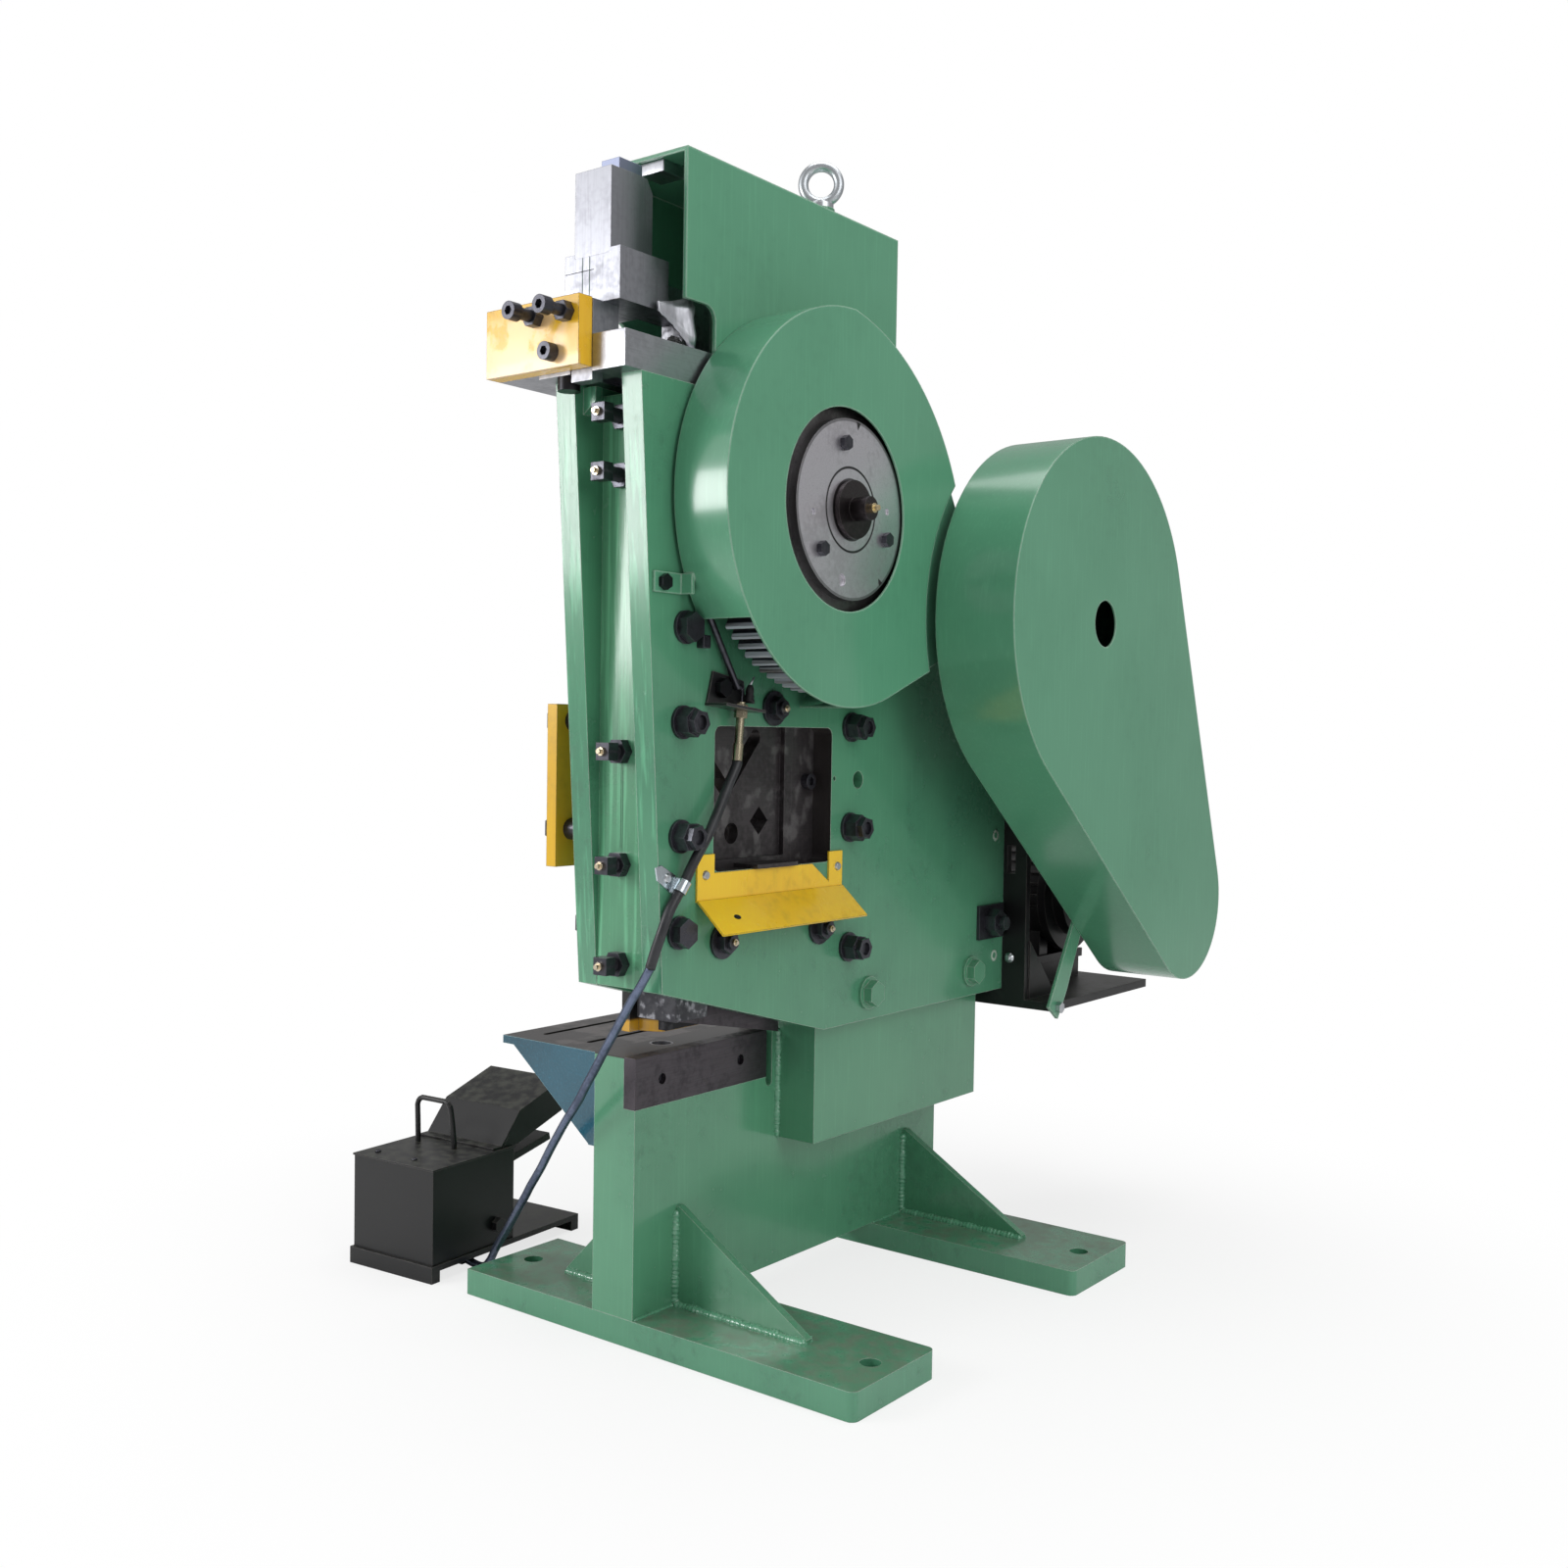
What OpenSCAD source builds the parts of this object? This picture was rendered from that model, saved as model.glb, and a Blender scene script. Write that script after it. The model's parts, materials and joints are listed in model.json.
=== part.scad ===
// Mechanical ironworker: punch, plate shear and profile shear driven by one eccentric shaft.
// Millimetres. X is the machine's right, the gear side. Y is its back. Z is up.
// The origin lies on the floor, at the centre of the four anchor holes.

/* [Feet and column] */
// Length of each foot across the machine
foot_l = 736; // [700:2:900]
// Depth of each foot from front to back
foot_w = 196; // [150:2:230]
// Thickness of each foot
foot_t = 40; // [25:1:50]
// Distance between the anchor holes along a foot
anchor_x = 652; // [600:2:680]
// Distance between the anchor holes from foot to foot
anchor_y = 604; // [540:2:700]
// Radius of each anchor hole
anchor_r = 15; // [8:0.5:20]
// Thickness of the column plate
column_t = 80; // [66:1:110]
// Height of the work face, which is the top of the lower blade
work_h = 418; // [350:1:520]
// Thickness of the foot gussets
gusset_t = 13; // [8:1:20]

/* [Frame] */
// Thickness of each side plate
plate_t = 35; // [28:1:42]
// Clear gap between the two side plates
plate_gap = 88; // [74:1:106]
// Height of the top of the side plates
plate_top = 1356; // [1340:1:1440]
// Width of the profile window
window_w = 278; // [250:2:290]
// Height of the profile window
window_h = 204; // [180:2:214]

/* [Blades and ram] */
// Thickness of the shear blades
blade_t = 22; // [18:0.5:25]
// Height of the lower blade
blade_h = 74; // [60:1:90]
// Length of the lower blade
blade_l = 302; // [250:2:310]
// Rise of the upper blade's edge for each mm along it
blade_rake = 0.196; // [0.16:0.002:0.23]
// Eccentricity of the shaft, which is half the stroke
throw = 14; // [11:0.5:14]
// Radius of the punch
punch_r = 14; // [8:0.5:16]

/* [Gear train] */
// Radius of the eccentric shaft
crank_r = 32; // [26:0.5:34]
// Module of the main gear pair
main_m = 6; // [5:0.5:6]
// Teeth of the main gear
main_z = 86; // [70:1:86]
// Teeth of the outer pinion
pinion_z = 21; // [18:1:24]
// Radius of the flywheel
wheel_r = 270; // [225:1:280]
// Radius of the motor pulley
pulley_r = 85; // [70:1:102]
// Thickness of the sheet covers
sheet_t = 3; // [2:0.5:4]

/* [Pedal unit] */
// Width of the pedal unit's base
pedal_w = 188; // [180:1:230]
// Length of the pedal unit's base
pedal_l = 356; // [350:1:420]
// Height of the pedal box above its base
pedal_h = 155; // [130:1:170]
// Angle at which the pedal unit stands on the floor
pedal_turn = 4.6; // [0:0.1:8]

/* [Hidden] */
$fn = 64;

// Colours
green = [0.36, 0.60, 0.47];
teal = [0.25, 0.48, 0.56];
yellow = [0.92, 0.75, 0.16];
black = [0.14, 0.14, 0.15];
steel = [0.72, 0.72, 0.74];
dark_steel = [0.30, 0.29, 0.31];
zinc = [0.78, 0.80, 0.82];
brass = [0.78, 0.62, 0.35];

// Clearances
run_gap = 0.05;     // radial, between a shaft and its bush
slide_gap = 0.4;    // on each side of the ram
bolt_gap = 0.1;     // radial, between a bolt and its hole
part_gap = 0.1;     // between two pieces of one node that lie together

// Frame
column_x = -20;                             // right face of the column
mid_x = 9;                                  // middle of the gap between the side plates
gap_x0 = mid_x - plate_gap / 2;             // inner face of the left plate
gap_x1 = mid_x + plate_gap / 2;             // inner face of the right plate
left_x = gap_x0 - plate_t;                  // outer face of the left plate
right_x = gap_x1 + plate_t;                 // outer face of the right plate
foot_y = anchor_y / 2;
front_y = -foot_y - foot_w / 2;             // front of the column
column_back = foot_y + foot_w / 2;
step_y = -69;                               // front of the carrier block
seat_z = work_h + 14;                       // underside of the side plates at the carrier
plate_back = 447;
nose_y = -465;                              // lower front corner of the side plates
nose_z = seat_z + 99;
vertex_y = -95;
lean_y = -522;                              // upper front corner of the side plates
carrier_bolt_y = [23, 336];
tongue_h = 88;                              // how far the carrier block rises between the plates

// Shaft centres, as [y, z]
crank_c = [-178, 1208];
wheel_c = [332, 1072];
motor_c = [690, 588];
counter_m = 5;
counter_z = 67;
drive_z = 17;
main_sum = main_m * (main_z + pinion_z) / 2;
drive_sum = counter_m * (counter_z + drive_z) / 2;
span = norm(crank_c - wheel_c);
span_u = (crank_c - wheel_c) / span;
span_t = (drive_sum * drive_sum + span * span - main_sum * main_sum) / (2 * span);
span_h = sqrt(max(0, drive_sum * drive_sum - span_t * span_t));
counter_c = wheel_c + span_t * span_u + span_h * [-span_u[1], span_u[0]];

// Places along X on the gear side
gear_x0 = right_x + 24;
gear_w = 56;
gear_x1 = gear_x0 + gear_w;
disc_x1 = gear_x1 + 14;
cover_x0 = right_x + 7;
cover_x1 = gear_x1 + 19;
guard_x0 = cover_x1 + 10;
guard_x1 = guard_x0 + 138;
groove_x = guard_x0 + 28;                   // centre of the first belt
groove_step = 20;
belt_w = 13;
belt_h = 11;

// Lifting eye
eye_y = -30;
post_z = 1706;                              // top of the post under the eye bolt

// Ram
ram_x0 = gap_x0 + slide_gap;
ram_x1 = gap_x1 - slide_gap;
ram_front = -375.6;
ram_back = -75.4;
ram_z0 = work_h + 110;
ram_z1 = plate_top - 16;
stroke = 2 * throw;
blade_x0 = column_x + slide_gap;
blade_x1 = blade_x0 + blade_t;
toe_front = -398;
toe_back = -330;
lobe_r = crank_r + throw + 4;
lobe_play = 3.3;                            // opened link between the shaft and the ram
bar_gap = 39;                               // between the two top guide bars
bar_x0 = mid_x - bar_gap / 2;
bar_x1 = mid_x + bar_gap / 2;
bar_h = 48;
bar_front = -553;
bar_back = -330;
head_z = plate_top + bar_h + 46;            // underside of the ram head

// Profile window and knives
window_y1 = -85;
window_y0 = window_y1 - window_w;
window_z1 = 894;
window_z0 = window_z1 - window_h;
knife_x = mid_x + 17;                       // plane in which the profile knives cut
knife_front = -352;
knife_back = -148;
knife_z0 = 696;
knife_z1 = 896;

// Punch station
punch_x = column_x - 54;
punch_y = -285;
strip_r = 55;
strip_z = work_h + 27;
strip_t = 30;

// Cable
sleeve_r = 7.5;
conduit_r = 6.5;
fit_top = [103, -323.8, 928];
fit_bottom = [103, -332, 846];
sleeve_path = [
    fit_bottom, [103, -332.65, 839.53], [103, -342.5, 824.3], [104, -354.7, 806.8],
    [106, -368.7, 786.8], [108, -383.3, 767], [110, -397.7, 748.8], [110, -409.7, 733.2],
    [107, -420.2, 716.2], [103, -429.4, 697.8], [101, -436.1, 684.1], [99, -447.1, 667.5],
    [98, -462.6, 646.7], [96.5, -470.4, 630.1], [94, -476.1, 613.3], [88, -479.8, 592],
    [82, -483.8, 567.7]
];
conduit_path = [
    [82, -483.8, 567.7], [67, -485, 543], [51, -486, 521], [36, -485, 499], [14, -479, 473],
    [-8, -473, 447], [-26, -467, 426], [-44, -461, 405], [-62, -456, 384], [-80, -450, 362],
    [-96, -445, 345], [-112, -441, 328], [-128, -436, 311], [-144, -430, 294],
    [-162, -424, 274], [-180, -417, 254], [-197, -411, 234], [-214, -406, 215],
    [-232, -400, 196], [-250, -393, 176], [-270, -385, 156], [-290, -376, 136],
    [-311, -367, 115], [-333, -357, 94], [-356, -347, 73], [-378, -337, 52],
    [-392, -331, 36], [-404, -327, 24], [-418, -322, 14], [-434, -317, 9],
    [-452, -312, 7], [-484, -305, 7]
];

// Studs
washer_t = 5;
head_t = 15;
nut_end = right_x + 26;                     // outer face of the stud nuts
nut_turns = [10, 30, 18, 5, 22];            // how each nut happens to stand

// Pedal unit, in its own frame: origin at the middle of its front edge on the floor
pedal_at = [-537.9, -417.3];
pedal_foot = 18;
pedal_plate_t = 9;
pedal_floor = pedal_foot + pedal_plate_t;
box_w = pedal_w - 8;
box_y0 = 5;
box_y1 = 192;
box_top = pedal_floor + pedal_h;
pivot_y = 150;
pivot_z = pedal_floor + 32;
pin_r = 8;
tread_y = 307;
tread_z = pivot_z + 120;

// ---------- shared shapes ----------

module block(x0, x1, y0, y1, z0, z1)
    translate([x0, y0, z0]) cube([x1 - x0, y1 - y0, z1 - z0]);

module rod_x(x0, x1, r, c)
    translate([x0, c[0], c[1]]) rotate([0, 90, 0]) cylinder(h = x1 - x0, r = r);

module ring_x(x0, x1, outer, inner, c)
    difference() {
        rod_x(x0, x1, outer, c);
        rod_x(x0 - 1, x1 + 1, inner, c);
    }

module hex_x(x0, x1, flats, c)
    translate([x0, c[0], c[1]]) rotate([0, 90, 0])
        cylinder(h = x1 - x0, r = flats / sqrt(3), $fn = 6);

module slab_x(x0, x1)
    translate([x0, 0, 0]) rotate([90, 0, 90]) linear_extrude(x1 - x0) children();

module rod_y(y0, y1, r, x, z)
    translate([x, y1, z]) rotate([90, 0, 0]) cylinder(h = y1 - y0, r = r);

module hex_y(y0, y1, flats, x, z)
    translate([x, y1, z]) rotate([90, 0, 0])
        cylinder(h = y1 - y0, r = flats / sqrt(3), $fn = 6);

module rod_z(z0, z1, r, x, y)
    translate([x, y, z0]) cylinder(h = z1 - z0, r = r);

// Straight round bar from one point to another
module bar_between(a, b, r) {
    d = b - a;
    translate(a) rotate([0, acos(d[2] / norm(d)), atan2(d[1], d[0])])
        cylinder(h = norm(d), r = r);
}

// Turned part on an axis along X, from a polygon of [radius, x]
module turned_x(c, points)
    translate([0, c[0], c[1]]) rotate([0, 90, 0]) rotate_extrude($fn = 96) polygon(points);

// Round-ended outline around two circles of different size
module teardrop(c1, r1, c2, r2) {
    d = c2 - c1;
    a = atan2(d[1], d[0]);
    b = acos((r1 - r2) / norm(d));
    union() {
        translate(c1) circle(r = r1, $fn = 128);
        translate(c2) circle(r = r2, $fn = 96);
        polygon([
            c1 + r1 * [cos(a + b), sin(a + b)], c2 + r2 * [cos(a + b), sin(a + b)],
            c2 + r2 * [cos(a - b), sin(a - b)], c1 + r1 * [cos(a - b), sin(a - b)]
        ]);
    }
}

// Points on an arc
function arc(c, r, a0, a1, n) =
    [for (i = [0:n]) c + r * [cos(a0 + (a1 - a0) * i / n), sin(a0 + (a1 - a0) * i / n)]];

// Rectangle with rounded corners, in its own plane
module round_rect(x0, x1, y0, y1, r)
    polygon(concat(
        arc([x1 - r, y1 - r], r, 0, 90, 5), arc([x0 + r, y1 - r], r, 90, 180, 5),
        arc([x0 + r, y0 + r], r, 180, 270, 5), arc([x1 - r, y0 + r], r, 270, 360, 5)));

// Angle of an involute at radius r, in degrees
function involute(base, r) =
    r <= base ? 0 : tan(acos(base / r)) * 180 / PI - acos(base / r);

// Gear outline with involute flanks and a little play
module gear_outline(m, z, phase) {
    pitch = m * z / 2;
    base = pitch * cos(20);
    tip = pitch + m;
    root = pitch - 1.25 * m;
    play = 0.25 / pitch * 180 / PI;
    half = 90 / z - play + involute(base, pitch);
    radii = [for (i = [0:3]) root + (tip - root) * i / 3];
    polygon([
        for (k = [0:z - 1]) let (mid = phase + 360 * k / z)
            for (p = concat(
                [for (i = [0:3]) [radii[i], mid - half + involute(base, radii[i])]],
                [for (i = [3:-1:0]) [radii[i], mid + half - involute(base, radii[i])]]))
                p[0] * [cos(p[1]), sin(p[1])]
    ]);
}

module gear_x(x0, x1, m, z, phase, c)
    slab_x(x0, x1) translate(c) gear_outline(m, z, phase);

function bearing_of(a, b) = atan2(b[1] - a[1], b[0] - a[0]);

// Round tube swept along a list of points, as one closed surface
function unit(v) = v / norm(v);
function tangent(p, i) =
    i == 0 ? unit(p[1] - p[0])
    : i == len(p) - 1 ? unit(p[i] - p[i - 1])
    : unit(unit(p[i + 1] - p[i]) + unit(p[i] - p[i - 1]));
module tube(path, r, sides) {
    n = len(path);
    rings = [
        for (i = [0:n - 1])
            let (t = tangent(path, i), u = unit(cross(t, [0.35, 0.9, 0.2])), w = cross(t, u))
                for (k = [0:sides - 1])
                    path[i] + r * (cos(360 * k / sides) * u + sin(360 * k / sides) * w)
    ];
    faces = concat(
        [[for (k = [0:sides - 1]) k]],
        [for (i = [0:n - 2]) for (k = [0:sides - 1])
            [i * sides + k, (i + 1) * sides + k, (i + 1) * sides + (k + 1) % sides,
             i * sides + (k + 1) % sides]],
        [[for (k = [sides - 1:-1:0]) (n - 1) * sides + k]]);
    polyhedron(rings, faces);
}

module in_pedal_frame()
    translate([pedal_at[0], pedal_at[1], 0]) rotate([0, 0, pedal_turn]) children();

// ---------- base ----------

module foot(y) {
    r = 12;
    x = foot_l / 2;
    w = foot_w / 2;
    difference() {
        union() {
            block(-x - 3, x - r, y - w, y + w, 0, foot_t);
            block(-x, x, y - w + r, y + w - r, 0, foot_t);
            for (sy = [-1, 1])
                rod_z(0, foot_t, r, x - r, y + sy * (w - r));
        }
        for (sx = [-1, 1])
            rod_z(-1, foot_t + 1, anchor_r, sx * anchor_x / 2, y);
    }
}

module feet() color(green)
    for (y = [-foot_y, foot_y])
        foot(y);

// Triangular plate welded between a foot and the column
module gusset(x, reach, y) {
    rise = 147;
    translate([0, y + gusset_t / 2, 0]) rotate([90, 0, 0]) linear_extrude(gusset_t)
        polygon([
            [x, foot_t], [x + reach, foot_t], [x + reach, foot_t + 6],
            [x + sign(reach) * 6, foot_t + rise], [x, foot_t + rise]
        ]);
}

module foot_gussets() color(green)
    for (y = [-foot_y, foot_y]) {
        gusset(column_x, 243, y);
        gusset(column_x - column_t, -145, y);
    }

module base_column() color(green)
    difference() {
        slab_x(column_x - column_t, column_x)
            polygon([
                [front_y, foot_t], [column_back, foot_t], [column_back, seat_z],
                [step_y, seat_z], [step_y, work_h], [front_y, work_h]
            ]);
        // seat of the lower blade, and the relief slot behind it
        block(column_x - blade_t, column_x + 1, front_y - 1, front_y + blade_l,
              work_h - blade_h, work_h + 1);
        block(column_x - blade_t, column_x + 1, front_y + blade_l - 1, front_y + blade_l + 14,
              work_h - blade_h - 8, work_h + 1);
        rod_x(column_x - blade_t, column_x + 1, 7,
              [front_y + blade_l + 7, work_h - blade_h - 8]);
        // die pocket and the way out for the slugs
        rod_z(work_h - 25, work_h + 1, 18 + bolt_gap, punch_x, punch_y);
        rod_z(work_h - 170, work_h - 20, 12, punch_x, punch_y);
        rod_x(column_x - column_t - 1, punch_x, 12, [punch_y, work_h - 160]);
    }

module carrier_block() color(green)
    difference() {
        union() {
            block(column_x, gap_x1, step_y, 416, 244, seat_z);
            block(gap_x0, gap_x1, step_y + 29, 416, seat_z, seat_z + tongue_h);
        }
        for (y = carrier_bolt_y)
            rod_x(gap_x0 - 1, gap_x1 + 1, 12 + bolt_gap, [y, seat_z + 43]);
    }

// Bolts that hold the side plates to the carrier block
module carrier_bolts() color(green)
    for (y = carrier_bolt_y) {
        c = [y, seat_z + 43];
        ring_x(right_x, right_x + 5, 26, 12 + bolt_gap, c);
        union() {
            rod_x(left_x - 30, right_x + 6, 12, c);
            hex_x(right_x + 5 + part_gap, right_x + 20, 36, c);
        }
        difference() {
            hex_x(left_x - 22, left_x, 36, c);
            rod_x(left_x - 23, left_x + 1, 12 + bolt_gap, c);
        }
    }

// ---------- side plates and guides ----------

long_points = [[-432.5, 898.3], [-434.5, 743.2], [-36.6, 896.1], [-36.8, 740.6]];
stud_points = concat(long_points, [[-36, seat_z + 122]]);
bolt_points = [[-429.5, 1027], [-435, 612]];  // hex heads in place of studs and nuts
upper_point = [-30, 1316];                  // stud behind the main gear, cut short
short_points = [stud_points[4], bolt_points[0], bolt_points[1], upper_point];
guide_points = concat(long_points, short_points);
side_screw_points = [[-233, 921], [-342.4, 592], [-112.6, 591]];
tie_c = [392, 557];                         // tie rod at the back of the frame

module plate_outline()
    polygon([
        [nose_y, nose_z], [vertex_y, seat_z], [plate_back, seat_z],
        [plate_back, 1120], [60, plate_top], [lean_y, plate_top]
    ]);

module side_plate(x0)
    difference() {
        slab_x(x0, x0 + plate_t) plate_outline();
        slab_x(x0 - 1, x0 + plate_t + 1)
            round_rect(window_y0, window_y1, window_z0, window_z1, 12);
        rod_x(x0 - 1, x0 + plate_t + 1, crank_r + 13, crank_c);
        for (c = [counter_c, wheel_c])
            rod_x(x0 - 1, x0 + plate_t + 1, 38, c);
        for (c = guide_points)
            rod_x(x0 - 1, x0 + plate_t + 1, 12 + bolt_gap, c);
        for (c = [[carrier_bolt_y[0], seat_z + 43], [carrier_bolt_y[1], seat_z + 43], tie_c])
            rod_x(x0 - 1, x0 + plate_t + 1, 12 + bolt_gap, c);
    }

module side_plate_right() color(green)
    difference() {
        side_plate(gap_x1);
        for (c = side_screw_points)
            rod_x(gap_x1 - 1, right_x + 1, 10 + bolt_gap, c);
        for (c = lug_bolts)
            rod_x(right_x - 12 - part_gap, right_x + 1, lug_bolt_r + bolt_gap, c);
        for (c = concat(chute_screws, [clip_screw]))
            rod_x(right_x - 12, right_x + 1, pan_r + bolt_gap, c);
        rod_x(right_x - 12 - part_gap, right_x + 1, 8 + bolt_gap, bracket_bolt);
        rod_x(gap_x1 - 1, right_x + 1, 13.5, [-14.3, 814]);
        rod_x(right_x - 12, right_x + 1, 3.5, [-77.2, 816.7]);
    }

module side_plate_left() color(green) {
    difference() {
        union() {
            side_plate(left_x);
            // small web at the top of the front opening, beside the tongue
            translate([0, -492, 0]) rotate([90, 0, 0]) linear_extrude(12)
                polygon([
                    [gap_x0 - 1, plate_top - 43], [gap_x0 - 1, plate_top - 6],
                    [gap_x0 + 23, plate_top - 6], [gap_x0 + 23, plate_top - 26]
                ]);
        }
        // notches for the punch arm and for the back of the stripper
        block(left_x - 1, gap_x0 + 1, punch_y - 43, punch_y + 43, seat_z, ram_z0 + 62);
        block(left_x - 1, gap_x0 + 1, punch_y, punch_y + strip_r + 2, seat_z,
              strip_z + strip_t + 2);
    }
}

module front_guide_bar() color(green)
    difference() {
        block(gap_x0, gap_x1, nose_y, -397, nose_z + 1, plate_top - 11);
        for (c = guide_points)
            rod_x(gap_x0 - 1, gap_x1 + 1, 12 + bolt_gap, c);
        for (z = gib_heights)
            rod_y(nose_y - 1, -396, 10 + bolt_gap, mid_x, z);
    }

// Lower bar behind the ram, and the cross block with the post that carries the eye bolt
module rear_guide_bars() color(steel)
    difference() {
        union() {
            block(gap_x0, gap_x1, ram_back + slide_gap, 10, seat_z + tongue_h + 2, 950);
            block(gap_x0, gap_x1, ram_back + slide_gap, 14, 1288, plate_top);
            rod_z(plate_top - 1, post_z, 22, mid_x, eye_y);
        }
        for (c = guide_points)
            rod_x(gap_x0 - 1, gap_x1 + 1, 12 + bolt_gap, c);
        rod_z(post_z - 30, post_z + 1, 10 + bolt_gap, mid_x, eye_y);
    }

module eye_bolt() color(zinc)
    translate([mid_x, eye_y, post_z]) rotate([0, 0, 34]) union() {
        translate([0, 0, -29]) cylinder(h = 30, r = 10);
        cylinder(h = 8, r = 20);
        translate([0, 0, 4]) cylinder(h = 8, r = 13);
        translate([0, 0, 39]) rotate([90, 0, 0])
            rotate_extrude() translate([28, 0]) circle(r = 8, $fn = 32);
    }

module gib_strip() color(steel)
    block(gap_x0 + 5, gap_x1 - 5, -396.7, ram_front - 0.3, nose_z + 9, plate_top - 21);

gib_heights = [1311, 1232, 857, 702, 565];
gib_reach = [22, 22, 6, 6, 6];

// Square-headed screws that set the gib
module gib_screws() color(black)
    for (i = [0:4]) {
        y = nose_y - 16 - gib_reach[i];
        union() {
            rod_y(y - 1, -396.7, 10, mid_x, gib_heights[i]);
            block(mid_x - 12, mid_x + 12, y - 18, y, gib_heights[i] - 12, gib_heights[i] + 12);
        }
    }

// Brass nipples in the heads of the gib screws and of the side screws
module grease_nipples() color(brass) {
    for (i = [0:4]) {
        y = nose_y - 34 - gib_reach[i];
        union() {
            rod_y(y - 4, y, 6, mid_x, gib_heights[i]);
            rod_y(y - 9, y - 3, 3.5, mid_x, gib_heights[i]);
        }
    }
    for (c = side_screw_points)
        union() {
            rod_x(right_x + 24, right_x + 27, 5, c);
            rod_x(right_x + 26, right_x + 30, 3, c);
        }
}

// Stud with a hex head that bears on the face at x0
module guide_stud(x0, x1, c)
    union() {
        rod_x(x0 - head_t, x1, 12, c);
        hex_x(x0 - head_t, x0, 36, c);
    }

// Studs through both plates and the guides, and the side screws of the right plate
module guide_studs() color(black) {
    for (c = stud_points)
        union() {
            guide_stud(c[0] > -37 && c[1] < 600 ? left_x - washer_t : hold_x0, nut_end, c);
            rod_x(nut_end - 1, nut_end + 5, 10, c);
        }
    guide_stud(left_x - washer_t, right_x + 18, upper_point);
    for (c = bolt_points)
        union() {
            guide_stud(left_x - washer_t, right_x + 6, c);
            hex_x(right_x + washer_t, right_x + washer_t + head_t, 36, c);
        }
    union() {
        rod_x(left_x - 14, right_x + 40, 12, tie_c);
        hex_x(left_x - 15, left_x, 36, tie_c);
    }
    for (c = side_screw_points)
        rod_x(gap_x1 + 1, right_x + 24, 10, c);
}

// Nut on an axis along X, with its hole
module nut_x(x0, x1, flats, r, c, turn = 0)
    difference() {
        translate([x0, c[0], c[1]]) rotate([turn, 0, 0]) rotate([0, 90, 0])
            cylinder(h = x1 - x0, r = flats / sqrt(3), $fn = 6);
        rod_x(x0 - 1, x1 + 1, r + bolt_gap, c);
    }

// Nut on an axis along Y, with its hole
module nut_y(y0, y1, flats, r, x, z)
    difference() {
        hex_y(y0, y1, flats, x, z);
        rod_y(y0 - 1, y1 + 1, r + bolt_gap, x, z);
    }

module hex_nuts() color(black) {
    for (i = [0:4]) {
        nut_x(right_x + washer_t, nut_end, 36, 12, stud_points[i], nut_turns[i]);
        nut_x(nut_end + part_gap, nut_end + 10, 30, 10, stud_points[i], nut_turns[i] + 12);
    }
    nut_x(right_x + washer_t, right_x + 16, 36, 12, upper_point);
    nut_x(right_x + 6, right_x + 28, 41, 12, tie_c);
    for (c = side_screw_points)
        nut_x(right_x + washer_t, right_x + 18, 30, 10, c);
    for (z = gib_heights)
        nut_y(nose_y - 14, nose_y, 32, 10, mid_x, z);
    for (s = jack_screws)
        nut_y(bar_front - 39, bar_front - 25, 24, 8, s[0], s[1]);
}

module guide_washers() color(black) {
    for (c = guide_points)
        ring_x(right_x, right_x + washer_t, 23, 12 + bolt_gap, c);
    for (c = short_points)
        ring_x(left_x - washer_t, left_x, 23, 12 + bolt_gap, c);
    for (c = side_screw_points)
        ring_x(right_x, right_x + washer_t, 25.5, 10 + bolt_gap, c);
    // square washer of the tie rod
    difference() {
        block(right_x, right_x + 6, tie_c[0] - 36, tie_c[0] + 48, tie_c[1] - 30, tie_c[1] + 30);
        rod_x(right_x - 1, right_x + 7, 12 + bolt_gap, tie_c);
    }
}

// ---------- top of the frame ----------

// Bars that guide the tongue of the ram head. The left one reaches out over its plate and
// rises behind the yellow plate, where the jack screws enter it.
module top_guide_bars() color(steel) {
    difference() {
        union() {
            block(left_x, bar_x0 - slide_gap, bar_front, bar_back, plate_top, plate_top + bar_h);
            block(adjuster_x0, left_x + 1, bar_front, -430, plate_top + 5, plate_top + bar_h);
            block(adjuster_x0, head_x0 - 4, bar_front, -470, plate_top + bar_h - 1,
                  plate_top + 92);
        }
        rod_y(bar_front - 1, bar_front + 45, 8 + bolt_gap, lower_screw[0], lower_screw[1]);
    }
    block(bar_x1 + slide_gap, right_x, bar_front, bar_back, plate_top, plate_top + bar_h);
}

adjuster_x0 = mid_x - 156;
lower_screw = [mid_x - 29, plate_top + 25];
jack_screws = [[mid_x - 59, plate_top + 74], [mid_x - 2, plate_top + 74]];

module adjuster_plate() color(yellow)
    difference() {
        block(adjuster_x0, bar_x1, bar_front - 25, bar_front - slide_gap, plate_top + 5,
              plate_top + 96);
        rod_y(bar_front - 26, bar_front, 8 + bolt_gap, lower_screw[0], lower_screw[1]);
        for (s = jack_screws)
            rod_y(bar_front - 26, bar_front, 8 + bolt_gap, s[0], s[1]);
    }

module socket_screw_y(y, x, z, reach, r) {
    difference() {
        union() {
            rod_y(y - 1, y + reach, r, x, z);
            rod_y(y - 2 * r, y, 1.5 * r, x, z);
        }
        translate([x, y - r, z]) rotate([90, 0, 0])
            cylinder(h = 2 * r, r = 0.8 * r, $fn = 6);
    }
}

cover_front = -443;
cover_back = 62;
cover_top = 1667;
cover_t = 6;
cover_hem = 1290;

module cover_wall(x0)
    slab_x(x0, x0 + cover_t)
        polygon(concat(
            [[cover_front, cover_top], [cover_back, cover_top], [cover_back, cover_hem],
             [-381, cover_hem]],
            arc([-401, 1446], 20, 0, 90, 5),
            [[cover_front, 1466]]));

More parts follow.
